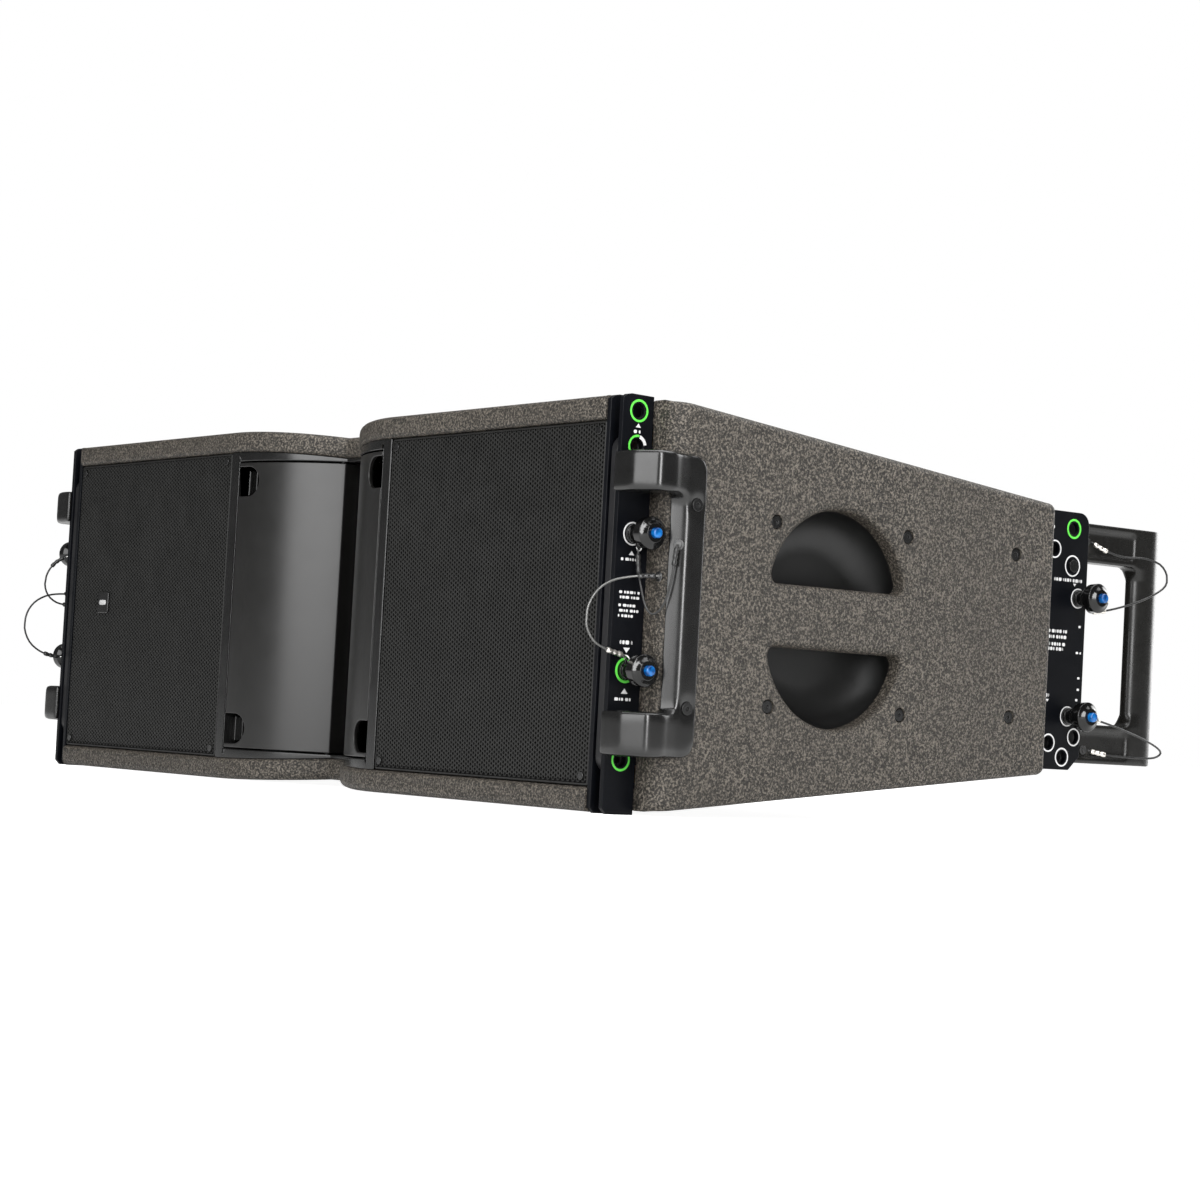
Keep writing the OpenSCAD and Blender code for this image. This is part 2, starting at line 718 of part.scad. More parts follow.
// A pair of plates with the same outline and holes
module plate_pair(holes) {
  color(steel_black) for (x = [plate_in, plate_out - plate_t]) difference() {
    along_x(x, x + plate_t) children();
    for (p = holes) translate([x - 1, p[0], p[1]]) rotate([0, 90, 0])
      cylinder(r = pin_r + running, h = plate_t + 2, $fn = round_fn);
    for (p = wall_bolts) translate([x - 1, p[0], p[1]]) rotate([0, 90, 0])
      cylinder(r = bolt_r + running, h = plate_t + 2, $fn = round_fn);
  }
}

module front_plates() {
  plate_pair([for (z = front_hole_zs) [front_hole_y, z]]) front_plate_outline();
}

rear_pin_holes = concat([rear_upper, rear_lower, rear_link_hole, rear_top_hole], rear_angle_holes);

module rear_plates() {
  difference() {
    plate_pair(rear_pin_holes) rear_plate_outline();
    for (p = handle_bolts) translate([plate_in - 1, p[0], p[1]]) rotate([0, 90, 0])
      cylinder(r = handle_bolt_r + running, h = plate_t + 2, $fn = round_fn);
    translate([plate_out - plate_t - 1, rear_badge_screw[0], rear_badge_screw[1]]) rotate([0, 90, 0])
      cylinder(r = bolt_r + running, h = plate_t + 2, $fn = round_fn);
  }
}

module front_plates_left() {
  placed() on_side("left") front_plates();
}

module front_plates_right() {
  placed() front_plates();
}

module rear_plates_left() {
  placed() on_side("left") rear_plates();
}

module rear_plates_right() {
  placed() rear_plates();
}

// Bolts that hold the plates to the inner walls, each with a spacer sleeve in the channel, and the smaller
// bolts that hold the rear handles to the inner plates
bolt_r = 4;
handle_bolt_r = 2.5;
wall_bolts = [[-163, 95], [-163, -95], [-136, 95], [-136, -95], [150, 60], [150, -60], [205, 60], [205, -60]];
handle_bolts = [[295, 97], [319, 104], [295, -92], [318, -103]];

module bolt(p, tip) {
  translate([tip, p[0], p[1]]) rotate([0, 90, 0]) {
    cylinder(r = bolt_r, h = plate_out - tip, $fn = round_fn);
    translate([0, 0, plate_out - tip]) cylinder(r = 7, h = 5, $fn = 6);
  }
}

module rigging_bolts() {
  placed() color(silver) for (side = ["left", "right"]) on_side(side) {
    for (p = wall_bolts) bolt(p, plate_in - board_t);
    for (p = wall_bolts) translate([plate_in + plate_t + seam / 2, p[0], p[1]]) rotate([0, 90, 0])
      difference() {
        cylinder(r = 8, h = channel_w - seam, $fn = round_fn);
        translate([0, 0, -1]) cylinder(r = bolt_r + running, h = channel_w + 2, $fn = round_fn);
      }
    for (p = handle_bolts) translate([handle_out - handle_t - 3, p[0], p[1]]) rotate([0, 90, 0]) {
      cylinder(r = 4.5, h = 3, $fn = round_fn);
      translate([0, 0, 3]) cylinder(r = handle_bolt_r, h = handle_t + 1 + plate_t, $fn = round_fn);
    }
    translate([plate_out - plate_t, rear_badge_screw[0], rear_badge_screw[1]]) rotate([0, 90, 0]) {
      cylinder(r = bolt_r, h = plate_t, $fn = round_fn);
      translate([0, 0, plate_t]) cylinder(r = 6, h = 2.5, $fn = round_fn);
    }
  }
}

// A flat link arm with round ends, a link hole and a slot for each pin that stays in
module link_arm(y0, y1, z0, z1, hole, slots, travel) {
  x0 = plate_in + plate_t + 2;
  r = (y1 - y0) / 2;
  color([0.25, 0.25, 0.27]) translate([x0, 0, 0]) difference() {
    along_x(0, channel_w - 4) polygon(round_rect([y0, z0], [y1, z1], r - 1));
    translate([-1, hole[0], hole[1]]) rotate([0, 90, 0])
      cylinder(r = pin_r + running, h = channel_w, $fn = round_fn);
    for (p = slots) {
      for (z = [p[1], p[1] + travel]) translate([-1, p[0], z]) rotate([0, 90, 0])
        cylinder(r = pin_r + 0.3, h = channel_w, $fn = round_fn);
      translate([-1, p[0] - pin_r - 0.3, min(p[1], p[1] + travel)])
        cube([channel_w, pin_d + 0.6, abs(travel)]);
    }
  }
}

module front_link() {
  link_arm(front_y + 1.5, notch_y - 1, -143, 143, [front_hole_y, front_stow_z],
    [[front_hole_y, front_upper_z], [front_hole_y, front_lower_z]], -front_travel);
}

module rear_link() {
  link_arm(rear_plate_end - 36, rear_plate_end, -120, 100, rear_link_hole, [rear_upper, rear_lower],
    rear_travel);
}

module front_link_left() {
  placed() on_side("left") front_link();
}

module front_link_right() {
  placed() front_link();
}

module rear_link_left() {
  placed() on_side("left") rear_link();
}

module rear_link_right() {
  placed() rear_link();
}

// Rear handle: an upright bar on two arms that are bolted inside the inner plate
module rear_handle() {
  x0 = handle_out - handle_t;
  outline_out = round_rect([handle_base_y, handle_bottom], [handle_end, handle_top], 8);
  color([0.16, 0.16, 0.17]) difference() {
    along_x(x0, handle_out) polygon(outline_out);
    along_x(x0 - 1, handle_out + 1) polygon(round_rect(
      [handle_base_y - 40, handle_bottom + handle_arm_h], [handle_bar_y, handle_top - handle_arm_h], 5));
    for (z = [handle_bottom, handle_top - handle_arm_h]) along_x(handle_out - pocket_depth, handle_out + 1)
      polygon(round_rect([rear_plate_end + pocket_end_gap, z + pocket_rim],
        [handle_bar_y - pocket_end_gap, z + handle_arm_h - pocket_rim], 4));
    for (p = rear_pin_holes) translate([x0 - 1, p[0], p[1]]) rotate([0, 90, 0])
      cylinder(r = pin_r + 1, h = handle_t + 2, $fn = round_fn);
    for (p = handle_bolts) translate([x0 - 1, p[0], p[1]]) rotate([0, 90, 0])
      cylinder(r = handle_bolt_r + running, h = handle_t + 2, $fn = round_fn);
  }
}

module rear_handle_left() {
  placed() on_side("left") rear_handle();
}

module rear_handle_right() {
  placed() rear_handle();
}

// Small domed screws and washers that the lanyards start from: on the wall's front edge and on the handles
module eyelet(p, turn) {
  translate(p) rotate(turn) {
    cylinder(r = 4.5, h = 1.2, $fn = round_fn);
    translate([0, 0, 1.2]) cylinder(r = 3, h = 2, $fn = round_fn);
  }
}

module lanyard_eyelets() {
  placed() color(silver) {
    eyelet([521, notch_y - seam, 24], [90, 0, 0]);
    translate([skin_eyelet[0], skin_eyelet[1], 51]) rotate([0, 0, -skin_lean])
      eyelet([seam, 0, 0], [0, 90, 0]);
    for (z = [2, 16]) mirror([1, 0, 0]) eyelet([519, notch_y - seam, z], [90, 0, 0]);
    for (side = ["left", "right"]) on_side(side) {
      eyelet([handle_out - pocket_depth + seam, 350, 101], [0, 90, 0]);
      eyelet([handle_out - pocket_depth + seam, 358, -101], [0, 90, 0]);
    }
  }
}

// Quick-release pin along +X from the outer plate's face: shank, collar, neck with lanyard tab, and head
module pin(p, tab_turn) {
  step = 0.3;
  color(black) translate([plate_out, p[0], p[1]]) {
    rotate([0, 90, 0]) difference() {
      rotate_extrude($fn = round_fn) polygon(concat([[0, pin_tip], [pin_r - 1.5, pin_tip],
        [pin_r, pin_tip + 1.5], [pin_r, step], [8, step], [8, collar_end], [neck_r, collar_end + 0.5],
        [neck_r, neck_end], [9.5, neck_end], [11, neck_end + 2], [head_r - 0.5, neck_end + 4]],
        arc_points([head_r - 2, head_end - 5], 2, 0, 40, 3),
        [[head_r - 3, head_end - 2.5], [button_r + 3.5, head_end], [0, head_end]]));
      translate([0, 0, head_end - button_bore])
        cylinder(r = button_r + running, h = button_bore + 1, $fn = round_fn);
      translate([0, 0, spindle_bore_end])
        cylinder(r = spindle_r + running, h = head_end - button_bore - spindle_bore_end + 1, $fn = round_fn);
    }
    rotate([tab_turn, 0, 0]) translate([tab_x, 0, 0]) rotate([0, 90, 0]) difference() {
      union() {
        cylinder(r = neck_r + 1.5, h = 2, $fn = round_fn);
        translate([0, -3.5, 0]) cube([tab_reach - 3.5, 7, 2]);
        translate([tab_reach - 3.5, 0, 0]) cylinder(r = 3.5, h = 2, $fn = round_fn);
      }
      translate([0, 0, -1]) cylinder(r = neck_r - 0.5, h = 4, $fn = round_fn);
      translate([tab_reach - 3.5, 0, -1]) cylinder(r = 1.6, h = 4, $fn = round_fn);
    }
  }
}

// Push button with its spindle, in the head of a pin
module button(p) {
  floor_x = head_end - button_bore + button_stroke + 0.5;
  tip = spindle_bore_end + button_stroke + 1;
  color(blue) translate([plate_out, p[0], p[1]]) rotate([0, 90, 0])
    rotate_extrude($fn = round_fn) polygon(concat(
      [[0, tip], [spindle_r, tip], [spindle_r, floor_x], [button_r, floor_x]],
      arc_points([button_r - 2, head_end + button_out - 2], 2, 0, 60, 4),
      [[0, head_end + button_out]]));
}

front_upper = [front_hole_y, front_upper_z];
front_lower = [front_hole_y, front_lower_z];

module pin_front_upper_left() {
  placed() on_side("left") pin(front_upper, -73);
}

module pin_front_lower_left() {
  placed() on_side("left") pin(front_lower, -84);
}

module pin_rear_upper_left() {
  placed() on_side("left") pin(rear_upper, 30);
}

module pin_rear_lower_left() {
  placed() on_side("left") pin(rear_lower, 90);
}

module pin_front_upper_right() {
  placed() pin(front_upper, 0);
}

module pin_front_lower_right() {
  placed() pin(front_lower, 215);
}

module pin_rear_upper_right() {
  placed() pin(rear_upper, 30);
}

module pin_rear_lower_right() {
  placed() pin(rear_lower, 90);
}

module button_front_upper_left() {
  placed() on_side("left") button(front_upper);
}

module button_front_lower_left() {
  placed() on_side("left") button(front_lower);
}

module button_rear_upper_left() {
  placed() on_side("left") button(rear_upper);
}

module button_rear_lower_left() {
  placed() on_side("left") button(rear_lower);
}

module button_front_upper_right() {
  placed() button(front_upper);
}

module button_front_lower_right() {
  placed() button(front_lower);
}

module button_rear_upper_right() {
  placed() button(rear_upper);
}

module button_rear_lower_right() {
  placed() button(rear_lower);
}

// Sweeps an eight-sided tube along a route
function unit(v) = v / norm(v);
function heading(route, i) = unit(route[min(i + 1, len(route) - 1)] - route[max(i - 1, 0)]);
function ring(route, i, r) =
  let (d = heading(route, i), a = unit(cross(d, [1, 0, 0])), b = cross(d, a))
  [for (k = [0:7]) route[i] + r * (cos(45 * k) * a + sin(45 * k) * b)];

module tube(route, r) {
  n = len(route);
  points = [for (i = [0:n - 1]) each ring(route, i, r)];
  sides = [for (i = [0:n - 2], k = [0:7]) [8 * i + k, 8 * i + (k + 1) % 8, 8 * i + 8 + (k + 1) % 8,
    8 * i + 8 + k]];
  polyhedron(points, concat([[7, 6, 5, 4, 3, 2, 1, 0]], sides, [[for (k = [0:7]) 8 * (n - 1) + k]]));
}

module lanyards_front_left() {
  placed() color(silver) on_side("left") {
    tube(route_front_upper_left, lanyard_d / 2);
    tube(route_front_lower_left, lanyard_d / 2);
  }
}

module lanyards_front_right() {
  placed() color(silver) {
    tube(route_front_upper_right, lanyard_d / 2);
    tube(route_front_lower_right, lanyard_d / 2);
  }
}

module lanyards_rear_left() {
  placed() color(silver) on_side("left") {
    tube(route_rear_upper, lanyard_d / 2);
    tube(route_rear_lower, lanyard_d / 2);
  }
}

module lanyards_rear_right() {
  placed() color(silver) {
    tube(route_rear_upper, lanyard_d / 2);
    tube(route_rear_lower, lanyard_d / 2);
  }
}

top_panel();
bottom_panel();
side_wall_left();
side_wall_right();
inner_walls();
rear_panel();
driver_baffles();
bracing();
grille_left();
grille_right();
grille_cloths();
grille_screws();
horn_frame();
horn_fin_left();
horn_fin_right();
waveguide();
compression_drivers();
mid_driver_frames();
mid_driver_cones();
woofer_baskets();
woofer_cones();
woofer_magnets();
connector_plate();
bumper_left();
bumper_right();
handle_cup_left();
handle_cup_right();
side_screws();
front_plates_left();
front_plates_right();
rear_plates_left();
rear_plates_right();
front_link_left();
front_link_right();
rear_link_left();
rear_link_right();
rigging_bolts();
rear_handle_left();
rear_handle_right();
lanyard_eyelets();
pin_front_upper_left();
pin_front_lower_left();
pin_rear_upper_left();
pin_rear_lower_left();
pin_front_upper_right();
pin_front_lower_right();
pin_rear_upper_right();
pin_rear_lower_right();
button_front_upper_left();
button_front_lower_left();
button_rear_upper_left();
button_rear_lower_left();
button_front_upper_right();
button_front_lower_right();
button_rear_upper_right();
button_rear_lower_right();
lanyards_front_left();
lanyards_front_right();
lanyards_rear_left();
lanyards_rear_right();
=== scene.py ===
"""Line array speaker: finished surfaces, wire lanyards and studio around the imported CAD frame."""

import json
import math

import bmesh
import bpy
from mathutils import Matrix, Vector


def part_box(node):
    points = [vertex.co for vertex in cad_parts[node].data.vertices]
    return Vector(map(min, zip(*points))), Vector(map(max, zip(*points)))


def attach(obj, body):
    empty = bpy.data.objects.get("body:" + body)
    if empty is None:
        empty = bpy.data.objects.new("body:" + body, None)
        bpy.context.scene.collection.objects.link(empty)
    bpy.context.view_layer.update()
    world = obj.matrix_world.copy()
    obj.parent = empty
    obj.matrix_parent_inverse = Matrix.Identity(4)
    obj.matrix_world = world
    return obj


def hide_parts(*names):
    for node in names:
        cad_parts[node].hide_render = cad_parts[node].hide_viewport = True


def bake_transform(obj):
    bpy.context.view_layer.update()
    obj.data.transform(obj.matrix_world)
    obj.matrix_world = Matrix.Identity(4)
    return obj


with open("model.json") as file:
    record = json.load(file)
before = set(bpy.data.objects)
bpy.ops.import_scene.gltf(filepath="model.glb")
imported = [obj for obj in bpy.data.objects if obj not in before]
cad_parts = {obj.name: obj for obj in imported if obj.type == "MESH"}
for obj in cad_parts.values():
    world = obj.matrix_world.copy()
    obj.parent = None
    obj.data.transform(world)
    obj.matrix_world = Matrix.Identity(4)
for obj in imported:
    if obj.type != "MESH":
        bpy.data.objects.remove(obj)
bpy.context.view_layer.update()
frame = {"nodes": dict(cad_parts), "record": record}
scene = bpy.context.scene

# ---------------------------------------------------------------- frame
# Drawing is done in millimetres about the middle of the side walls, at mid height, as in the CAD model.
MM = 0.001
FRONT_Y = -245.0
plate_low, plate_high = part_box("front_plates_right")
ORIGIN = Vector((0, plate_low.y - FRONT_Y * MM, (plate_low.z + plate_high.z) / 2))
ENDS = {"left": -1, "right": 1}


def at(x, y, z):
    """A point of the cabinet's own millimetres in the row frame, in metres."""
    return Vector((x, y, z)) * MM + ORIGIN


# ---------------------------------------------------------------- camera
# Solved from the cabinet's straight edges: azimuth is 0 in front and 90 on the right, in degrees
CAMERA_TURN = (52.73, -2.643, 3.091)
CAMERA_PLACE = (2384.4, -1691.1, -108.2)
LENS, SENSOR = 85.25, 36


def make_camera():
    azimuth, elevation, roll = (math.radians(a) for a in CAMERA_TURN)
    back = Vector((math.sin(azimuth) * math.cos(elevation), -math.cos(azimuth) * math.cos(elevation),
                   math.sin(elevation)))
    right = Vector((math.cos(azimuth), math.sin(azimuth), 0))
    up = back.cross(right)
    right, up = (math.cos(roll) * right + math.sin(roll) * up, math.cos(roll) * up - math.sin(roll) * right)
    data = bpy.data.cameras.new("camera")
    data.lens, data.sensor_width = LENS, SENSOR
    data.clip_start, data.clip_end = 0.05, 60
    camera = bpy.data.objects.new("camera", data)
    turn = Matrix((right, up, back)).transposed().to_4x4()
    camera.matrix_world = Matrix.Translation(at(*CAMERA_PLACE)) @ turn
    scene.collection.objects.link(camera)
    scene.camera = camera


make_camera()


# ---------------------------------------------------------------- materials
class Nodes:
    """A small builder for one material's node tree round a Principled shader."""

    def __init__(self, name, colour, roughness, metallic=0.0, specular=0.5, **fixed):
        self.material = bpy.data.materials.new(name)
        self.material.use_nodes = True
        self.tree = self.material.node_tree
        self.shader = self.tree.nodes["Principled BSDF"]
        self.set("Base Color", (*colour, 1))
        self.set("Roughness", roughness)
        self.set("Metallic", metallic)
        self.set("Specular IOR Level", specular)
        for key, value in fixed.items():
            self.set(key.replace("_", " "), value)
        self.place = self.add("ShaderNodeTexCoord").outputs["Object"]

    def set(self, socket, value):
        self.shader.inputs[socket].default_value = value

    def add(self, kind, inputs=None, **settings):
        node = self.tree.nodes.new(kind)
        for key, value in settings.items():
            setattr(node, key, value)
        for key, value in (inputs or {}).items():
            if isinstance(value, bpy.types.NodeSocket):
                self.tree.links.new(value, node.inputs[key])
            else:
                node.inputs[key].default_value = value
        return node

    def link(self, value, socket):
        self.tree.links.new(value, self.shader.inputs[socket])

    def noise(self, scale, detail=2.0, roughness=0.5, stretch=(1, 1, 1)):
        place = self.place
        if stretch != (1, 1, 1):
            place = self.add("ShaderNodeMapping", {"Vector": place, "Scale": stretch}).outputs[0]
        return self.add("ShaderNodeTexNoise", {"Vector": place, "Scale": scale, "Detail": detail,
                                               "Roughness": roughness}).outputs["Fac"]

    def cells(self, scale, feature="F1"):
        return self.add("ShaderNodeTexVoronoi", {"Vector": self.place, "Scale": scale},
                        feature=feature).outputs["Distance"]

    def ramp(self, value, *stops):
        node = self.add("ShaderNodeValToRGB", {"Fac": value})
        elements = node.color_ramp.elements
        while len(elements) < len(stops):
            elements.new(0.5)
        for element, (position, colour) in zip(elements, stops):
            element.position = position
            element.color = (*colour, 1) if isinstance(colour, tuple) else (colour,) * 3 + (1,)
        return node.outputs["Color"]

    def mix(self, share, one, other, blend="MIX"):
        node = self.add("ShaderNodeMix", data_type="RGBA", blend_type=blend)
        for index, value in ((0, share), (6, one), (7, other)):
            if isinstance(value, bpy.types.NodeSocket):
                self.tree.links.new(value, node.inputs[index])
            else:
                node.inputs[index].default_value = (*value, 1) if isinstance(value, tuple) else value
        return node.outputs[2]

    def math(self, operation, one, other):
        return self.add("ShaderNodeMath", {0: one, 1: other}, operation=operation).outputs[0]

    def bump(self, height, strength, distance, under=None):
        inputs = {"Height": height, "Strength": strength, "Distance": distance}
        if under is not None:
            inputs["Normal"] = under
        normal = self.add("ShaderNodeBump", inputs).outputs[0]
        self.link(normal, "Normal")
        return normal

    def vary(self, socket, value, low, high):
        """Drives a socket from low to high with a texture value from about 0.35 to 0.65."""
        self.link(self.add("ShaderNodeMapRange", {"Value": value, "From Min": 0.35, "From Max": 0.65,
                                                  "To Min": low, "To Max": high}).outputs[0], socket)


def make_coat():
    m = Nodes("coat", (0.05, 0.045, 0.038), 0.5, specular=0.4)
    grain = m.noise(540, 3, 0.62)
    lumps = m.cells(360, "SMOOTH_F1")
    wide = m.noise(9, 2)
    # The grain ramp gives the coat's own speckled tone, and its lightest specks are painted glints of the
    # textured surface.
    tone_and_glints = m.ramp(grain, (0.4, (0.006, 0.005, 0.0036)), (0.5, (0.026, 0.0218, 0.0168)),
                    (0.62, (0.14, 0.122, 0.10)))
    m.link(m.mix(m.ramp(wide, (0.3, 0.0), (0.7, 0.25)), tone_and_glints, (0.027, 0.0225, 0.0174)), "Base Color")
    m.vary("Roughness", grain, 0.62, 0.38)
    m.bump(lumps, 0.6, 0.0010, m.bump(grain, 1.0, 0.0015))
    return m.material


def make_black(name, colour, low, high, grain=1800.0, strength=0.12, **fixed):
    m = Nodes(name, colour, low, **{"specular": 0.32, **fixed})
    m.vary("Roughness", m.noise(45, 4, 0.6), low, high)
    fine = m.noise(grain, 2)
    m.bump(fine, strength, 0.0003)
    worn = m.noise(22, 5, 0.65)
    lighter = tuple(min(1, c * 1.5 + 0.001) for c in colour)
    m.link(m.mix(m.ramp(worn, (0.45, 0.0), (0.75, 0.5)), colour, lighter), "Base Color")
    return m.material


def make_metal(name, colour, low, high, brushed=(1, 1, 1)):
    m = Nodes(name, colour, low, metallic=1.0)
    streaks = m.noise(350, 4, 0.6, brushed)
    m.vary("Roughness", streaks, low, high)
    m.bump(streaks, 0.15, 0.0002)
    darker = tuple(c * 0.72 for c in colour)
    m.link(m.mix(m.ramp(m.noise(60, 4), (0.4, 0.0), (0.7, 0.6)), colour, darker), "Base Color")
    return m.material


def make_plywood():
    m = Nodes("plywood", (0.5, 0.36, 0.22), 0.6)
    grain = m.noise(60, 5, 0.6, (0.15, 1, 1))
    m.link(m.ramp(grain, (0.3, (0.42, 0.28, 0.16)), (0.7, (0.62, 0.46, 0.29))), "Base Color")
    m.vary("Roughness", grain, 0.5, 0.72)
    m.bump(grain, 0.2, 0.0004)
    return m.material


def make_cloth(name, dark, light, scale):
    m = Nodes(name, dark, 0.9, specular=0.25)
    weave = m.math("MULTIPLY", m.noise(scale, 1, 0.5, (1, 1, 0.3)), m.noise(scale, 1, 0.5, (0.3, 1, 1)))
    m.link(m.ramp(weave, (0.12, dark), (0.4, light)), "Base Color")
    m.vary("Roughness", weave, 0.95, 0.8)
    m.bump(weave, 0.5, 0.0006)
    return m.material


def make_print(name, colour):
    m = Nodes(name, colour, 0.5)
    wear = m.noise(900, 3, 0.6)
    faded = tuple(c * 0.7 for c in colour)
    m.link(m.mix(m.ramp(wear, (0.5, 0.0), (0.8, 0.6)), colour, faded), "Base Color")
    m.vary("Roughness", wear, 0.42, 0.6)
    return m.material


def make_button():
    m = Nodes("button_blue", (0.0, 0.09, 0.36), 0.16, specular=0.6)
    depth = m.noise(160, 2)
    m.link(m.ramp(depth, (0.35, (0.0, 0.03, 0.13)), (0.65, (0.002, 0.13, 0.42))), "Base Color")
    m.vary("Roughness", depth, 0.12, 0.22)
    return m.material


def make_wire(name, colour, low, high, metallic=0.85):
    m = Nodes(name, colour, low, metallic=metallic)
    strand = m.noise(1500, 1, 0.5)
    m.vary("Roughness", strand, low, high)
    m.link(m.ramp(strand, (0.4, tuple(c * 0.55 for c in colour)), (0.6, colour)), "Base Color")
    m.bump(strand, 0.4, 0.0003)
    return m.material


COAT = make_coat()
MOULDING = make_black("moulding", (0.0045, 0.0045, 0.0044), 0.2, 0.26, strength=0.04, specular=0.6)
FIN = make_black("fin_satin", (0.006, 0.0058, 0.0055), 0.28, 0.31, strength=0.03, specular=0.6)
GRILLE = make_black("grille_coat", (0.012, 0.012, 0.0115), 0.42, 0.58, grain=900.0, strength=0.25,
                    specular=0.28)
PLATE = make_black("plate_coat", (0.002, 0.0024, 0.0036), 0.34, 0.42, grain=1300.0, strength=0.1,
                   specular=0.13)
# Light grey for the plates' front faces: bare cut edges, brightened further as a painted sheen.
PLATE_EDGE_SHEEN = make_black("plate_edge_sheen", (0.34, 0.34, 0.34), 0.4, 0.5)
CUP = make_black("cup_moulding", (0.005, 0.005, 0.005), 0.34, 0.4, specular=0.5)
LINK = make_black("link_coat", (0.008, 0.008, 0.009), 0.36, 0.5)
SCREW = make_black("screw_black", (0.006, 0.006, 0.006), 0.16, 0.28, specular=0.6)
PIN = make_black("pin_black", (0.002, 0.002, 0.002), 0.1, 0.16, strength=0.02, specular=0.45)
HANDLE = make_black("handle_black", (0.006, 0.0058, 0.0052), 0.24, 0.3, strength=0.04, specular=0.4)
CONE = make_cloth("cone_paper", (0.012, 0.012, 0.012), (0.03, 0.03, 0.03), 700)
CLOTH = make_cloth("grille_cloth", (0.0015, 0.0015, 0.0015), (0.006, 0.006, 0.006), 1400)
PLYWOOD = make_plywood()
STEEL = make_metal("zinc_steel", (0.55, 0.55, 0.54), 0.28, 0.45)
CASTING = make_metal("cast_frame", (0.13, 0.13, 0.135), 0.45, 0.6)
MAGNET = make_metal("magnet", (0.35, 0.35, 0.36), 0.35, 0.5)
FERRULE = make_metal("ferrule", (0.80, 0.77, 0.72), 0.25, 0.4)
EYELET = make_metal("eyelet_steel", (0.1, 0.1, 0.1), 0.3, 0.42)
DARK_FERRULE = make_black("ferrule_dark", (0.012, 0.012, 0.012), 0.25, 0.35, specular=0.5)
WIRE = make_wire("wire_grey", (0.2, 0.2, 0.195), 0.3, 0.45)
DARK_WIRE = make_wire("wire_dark", (0.012, 0.012, 0.012), 0.28, 0.4, 0.0)
BUTTON = make_button()
BADGE_FACE = make_black("badge_bar", (0.42, 0.42, 0.42), 0.3, 0.42)
WHITE_PRINT = make_print("print_white", (0.66, 0.66, 0.66))
GREEN_PRINT = make_print("print_green", (0.10, 0.62, 0.06))


# ---------------------------------------------------------------- mesh helpers
BODY_OF = {node: body for body, nodes in frame["record"]["behaviour"]["bodies"].items() for node in nodes}


def new_object(name, mesh, *materials):
    mesh.materials.clear()
    for material in materials:
        mesh.materials.append(material)
    ob = bpy.data.objects.new(name, mesh)
    scene.collection.objects.link(ob)
    return ob


def new_mesh(name, verts, faces):
    mesh = bpy.data.meshes.new(name)
    mesh.from_pydata([tuple(at(*v)) for v in verts], [], faces)
    mesh.update()
    return mesh


def finish_mesh(mesh, degrees=32):
    """Smooth shading with hard edges kept, and outward faces."""
    bm = bmesh.new()
    bm.from_mesh(mesh)
    bmesh.ops.recalc_face_normals(bm, faces=bm.faces)
    bm.to_mesh(mesh)
    bm.free()
    shade(mesh, degrees)


def shade(mesh, degrees=32):
    mesh.polygons.foreach_set("use_smooth", [True] * len(mesh.polygons))
    mesh.set_sharp_from_angle(angle=math.radians(degrees))


WELD = 2e-6
FLAT_DEGREES = 0.4


def refined(node, material, radius=0.6, segments=2, rules=(), faces=None, second=None, sharp=35):
    """A finished copy of a CAD node: flat faces merged, hard edges rounded and curves shaded smooth.
    rules are (test, radius): the first whose test takes an edge's middle, in millimetres, sets that edge's
    radius instead of the usual one. faces says which faces take the second material."""
    mesh = frame["nodes"][node].data.copy()
    bm = bmesh.new()
    bm.from_mesh(mesh)
    bmesh.ops.remove_doubles(bm, verts=bm.verts, dist=WELD)
    bmesh.ops.dissolve_limit(bm, angle_limit=math.radians(FLAT_DEGREES), verts=bm.verts, edges=bm.edges)
    radii = [radius] + [r for _, r in rules]
    widest = max(radii) or 1
    weights = bm.edges.layers.float.new("bevel_weight_edge")
    for edge in bm.edges:
        angle = edge.calc_face_angle(0) if len(edge.link_faces) == 2 else math.pi
        if angle > math.radians(sharp):
            middle = ((edge.verts[0].co + edge.verts[1].co) / 2 - ORIGIN) / MM
            edge[weights] = next((r for test, r in rules if test(middle)), radius) / widest
        edge.smooth = edge[weights] > 0 or angle < math.radians(sharp)
    for face in bm.faces:
        face.smooth = True
        if faces and faces(face.normal, (face.calc_center_median() - ORIGIN) / MM):
            face.material_index = 1
    bm.to_mesh(mesh)
    bm.free()
    ob = new_object(node + "_finish", mesh, material, *([second] if second else []))
    if any(radii):
        bevel = ob.modifiers.new("rounded_edges", "BEVEL")
        bevel.limit_method, bevel.width, bevel.segments = "WEIGHT", widest * MM, segments
        bevel.use_clamp_overlap, bevel.loop_slide = False, True
    flat = ob.modifiers.new("flat_faces", "WEIGHTED_NORMAL")
    flat.weight, flat.keep_sharp = 80, True
    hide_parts(node)
    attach(ob, BODY_OF[node])


def moulded(node, material, voxel, passes, shape=None):
    """A finished copy of a moulded CAD node: its skin is remeshed in voxels, in millimetres, then relaxed
    so that every edge is soft. shape moves a point, in millimetres, to round the form further."""
    ob = new_object(node + "_finish", frame["nodes"][node].data.copy(), material)
    skin = ob.modifiers.new("skin", "REMESH")
    skin.mode, skin.voxel_size, skin.use_smooth_shade = "VOXEL", voxel * MM, True
    relax = ob.modifiers.new("relax", "SMOOTH")
    relax.factor, relax.iterations = 0.5, passes
    graph = bpy.context.evaluated_depsgraph_get()
    soft = bpy.data.meshes.new_from_object(ob.evaluated_get(graph))
    ob.modifiers.clear()
    ob.data = soft
    if shape:
        for vertex in soft.vertices:
            vertex.co = at(*shape((vertex.co - ORIGIN) / MM))
    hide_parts(node)
    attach(ob, BODY_OF[node])


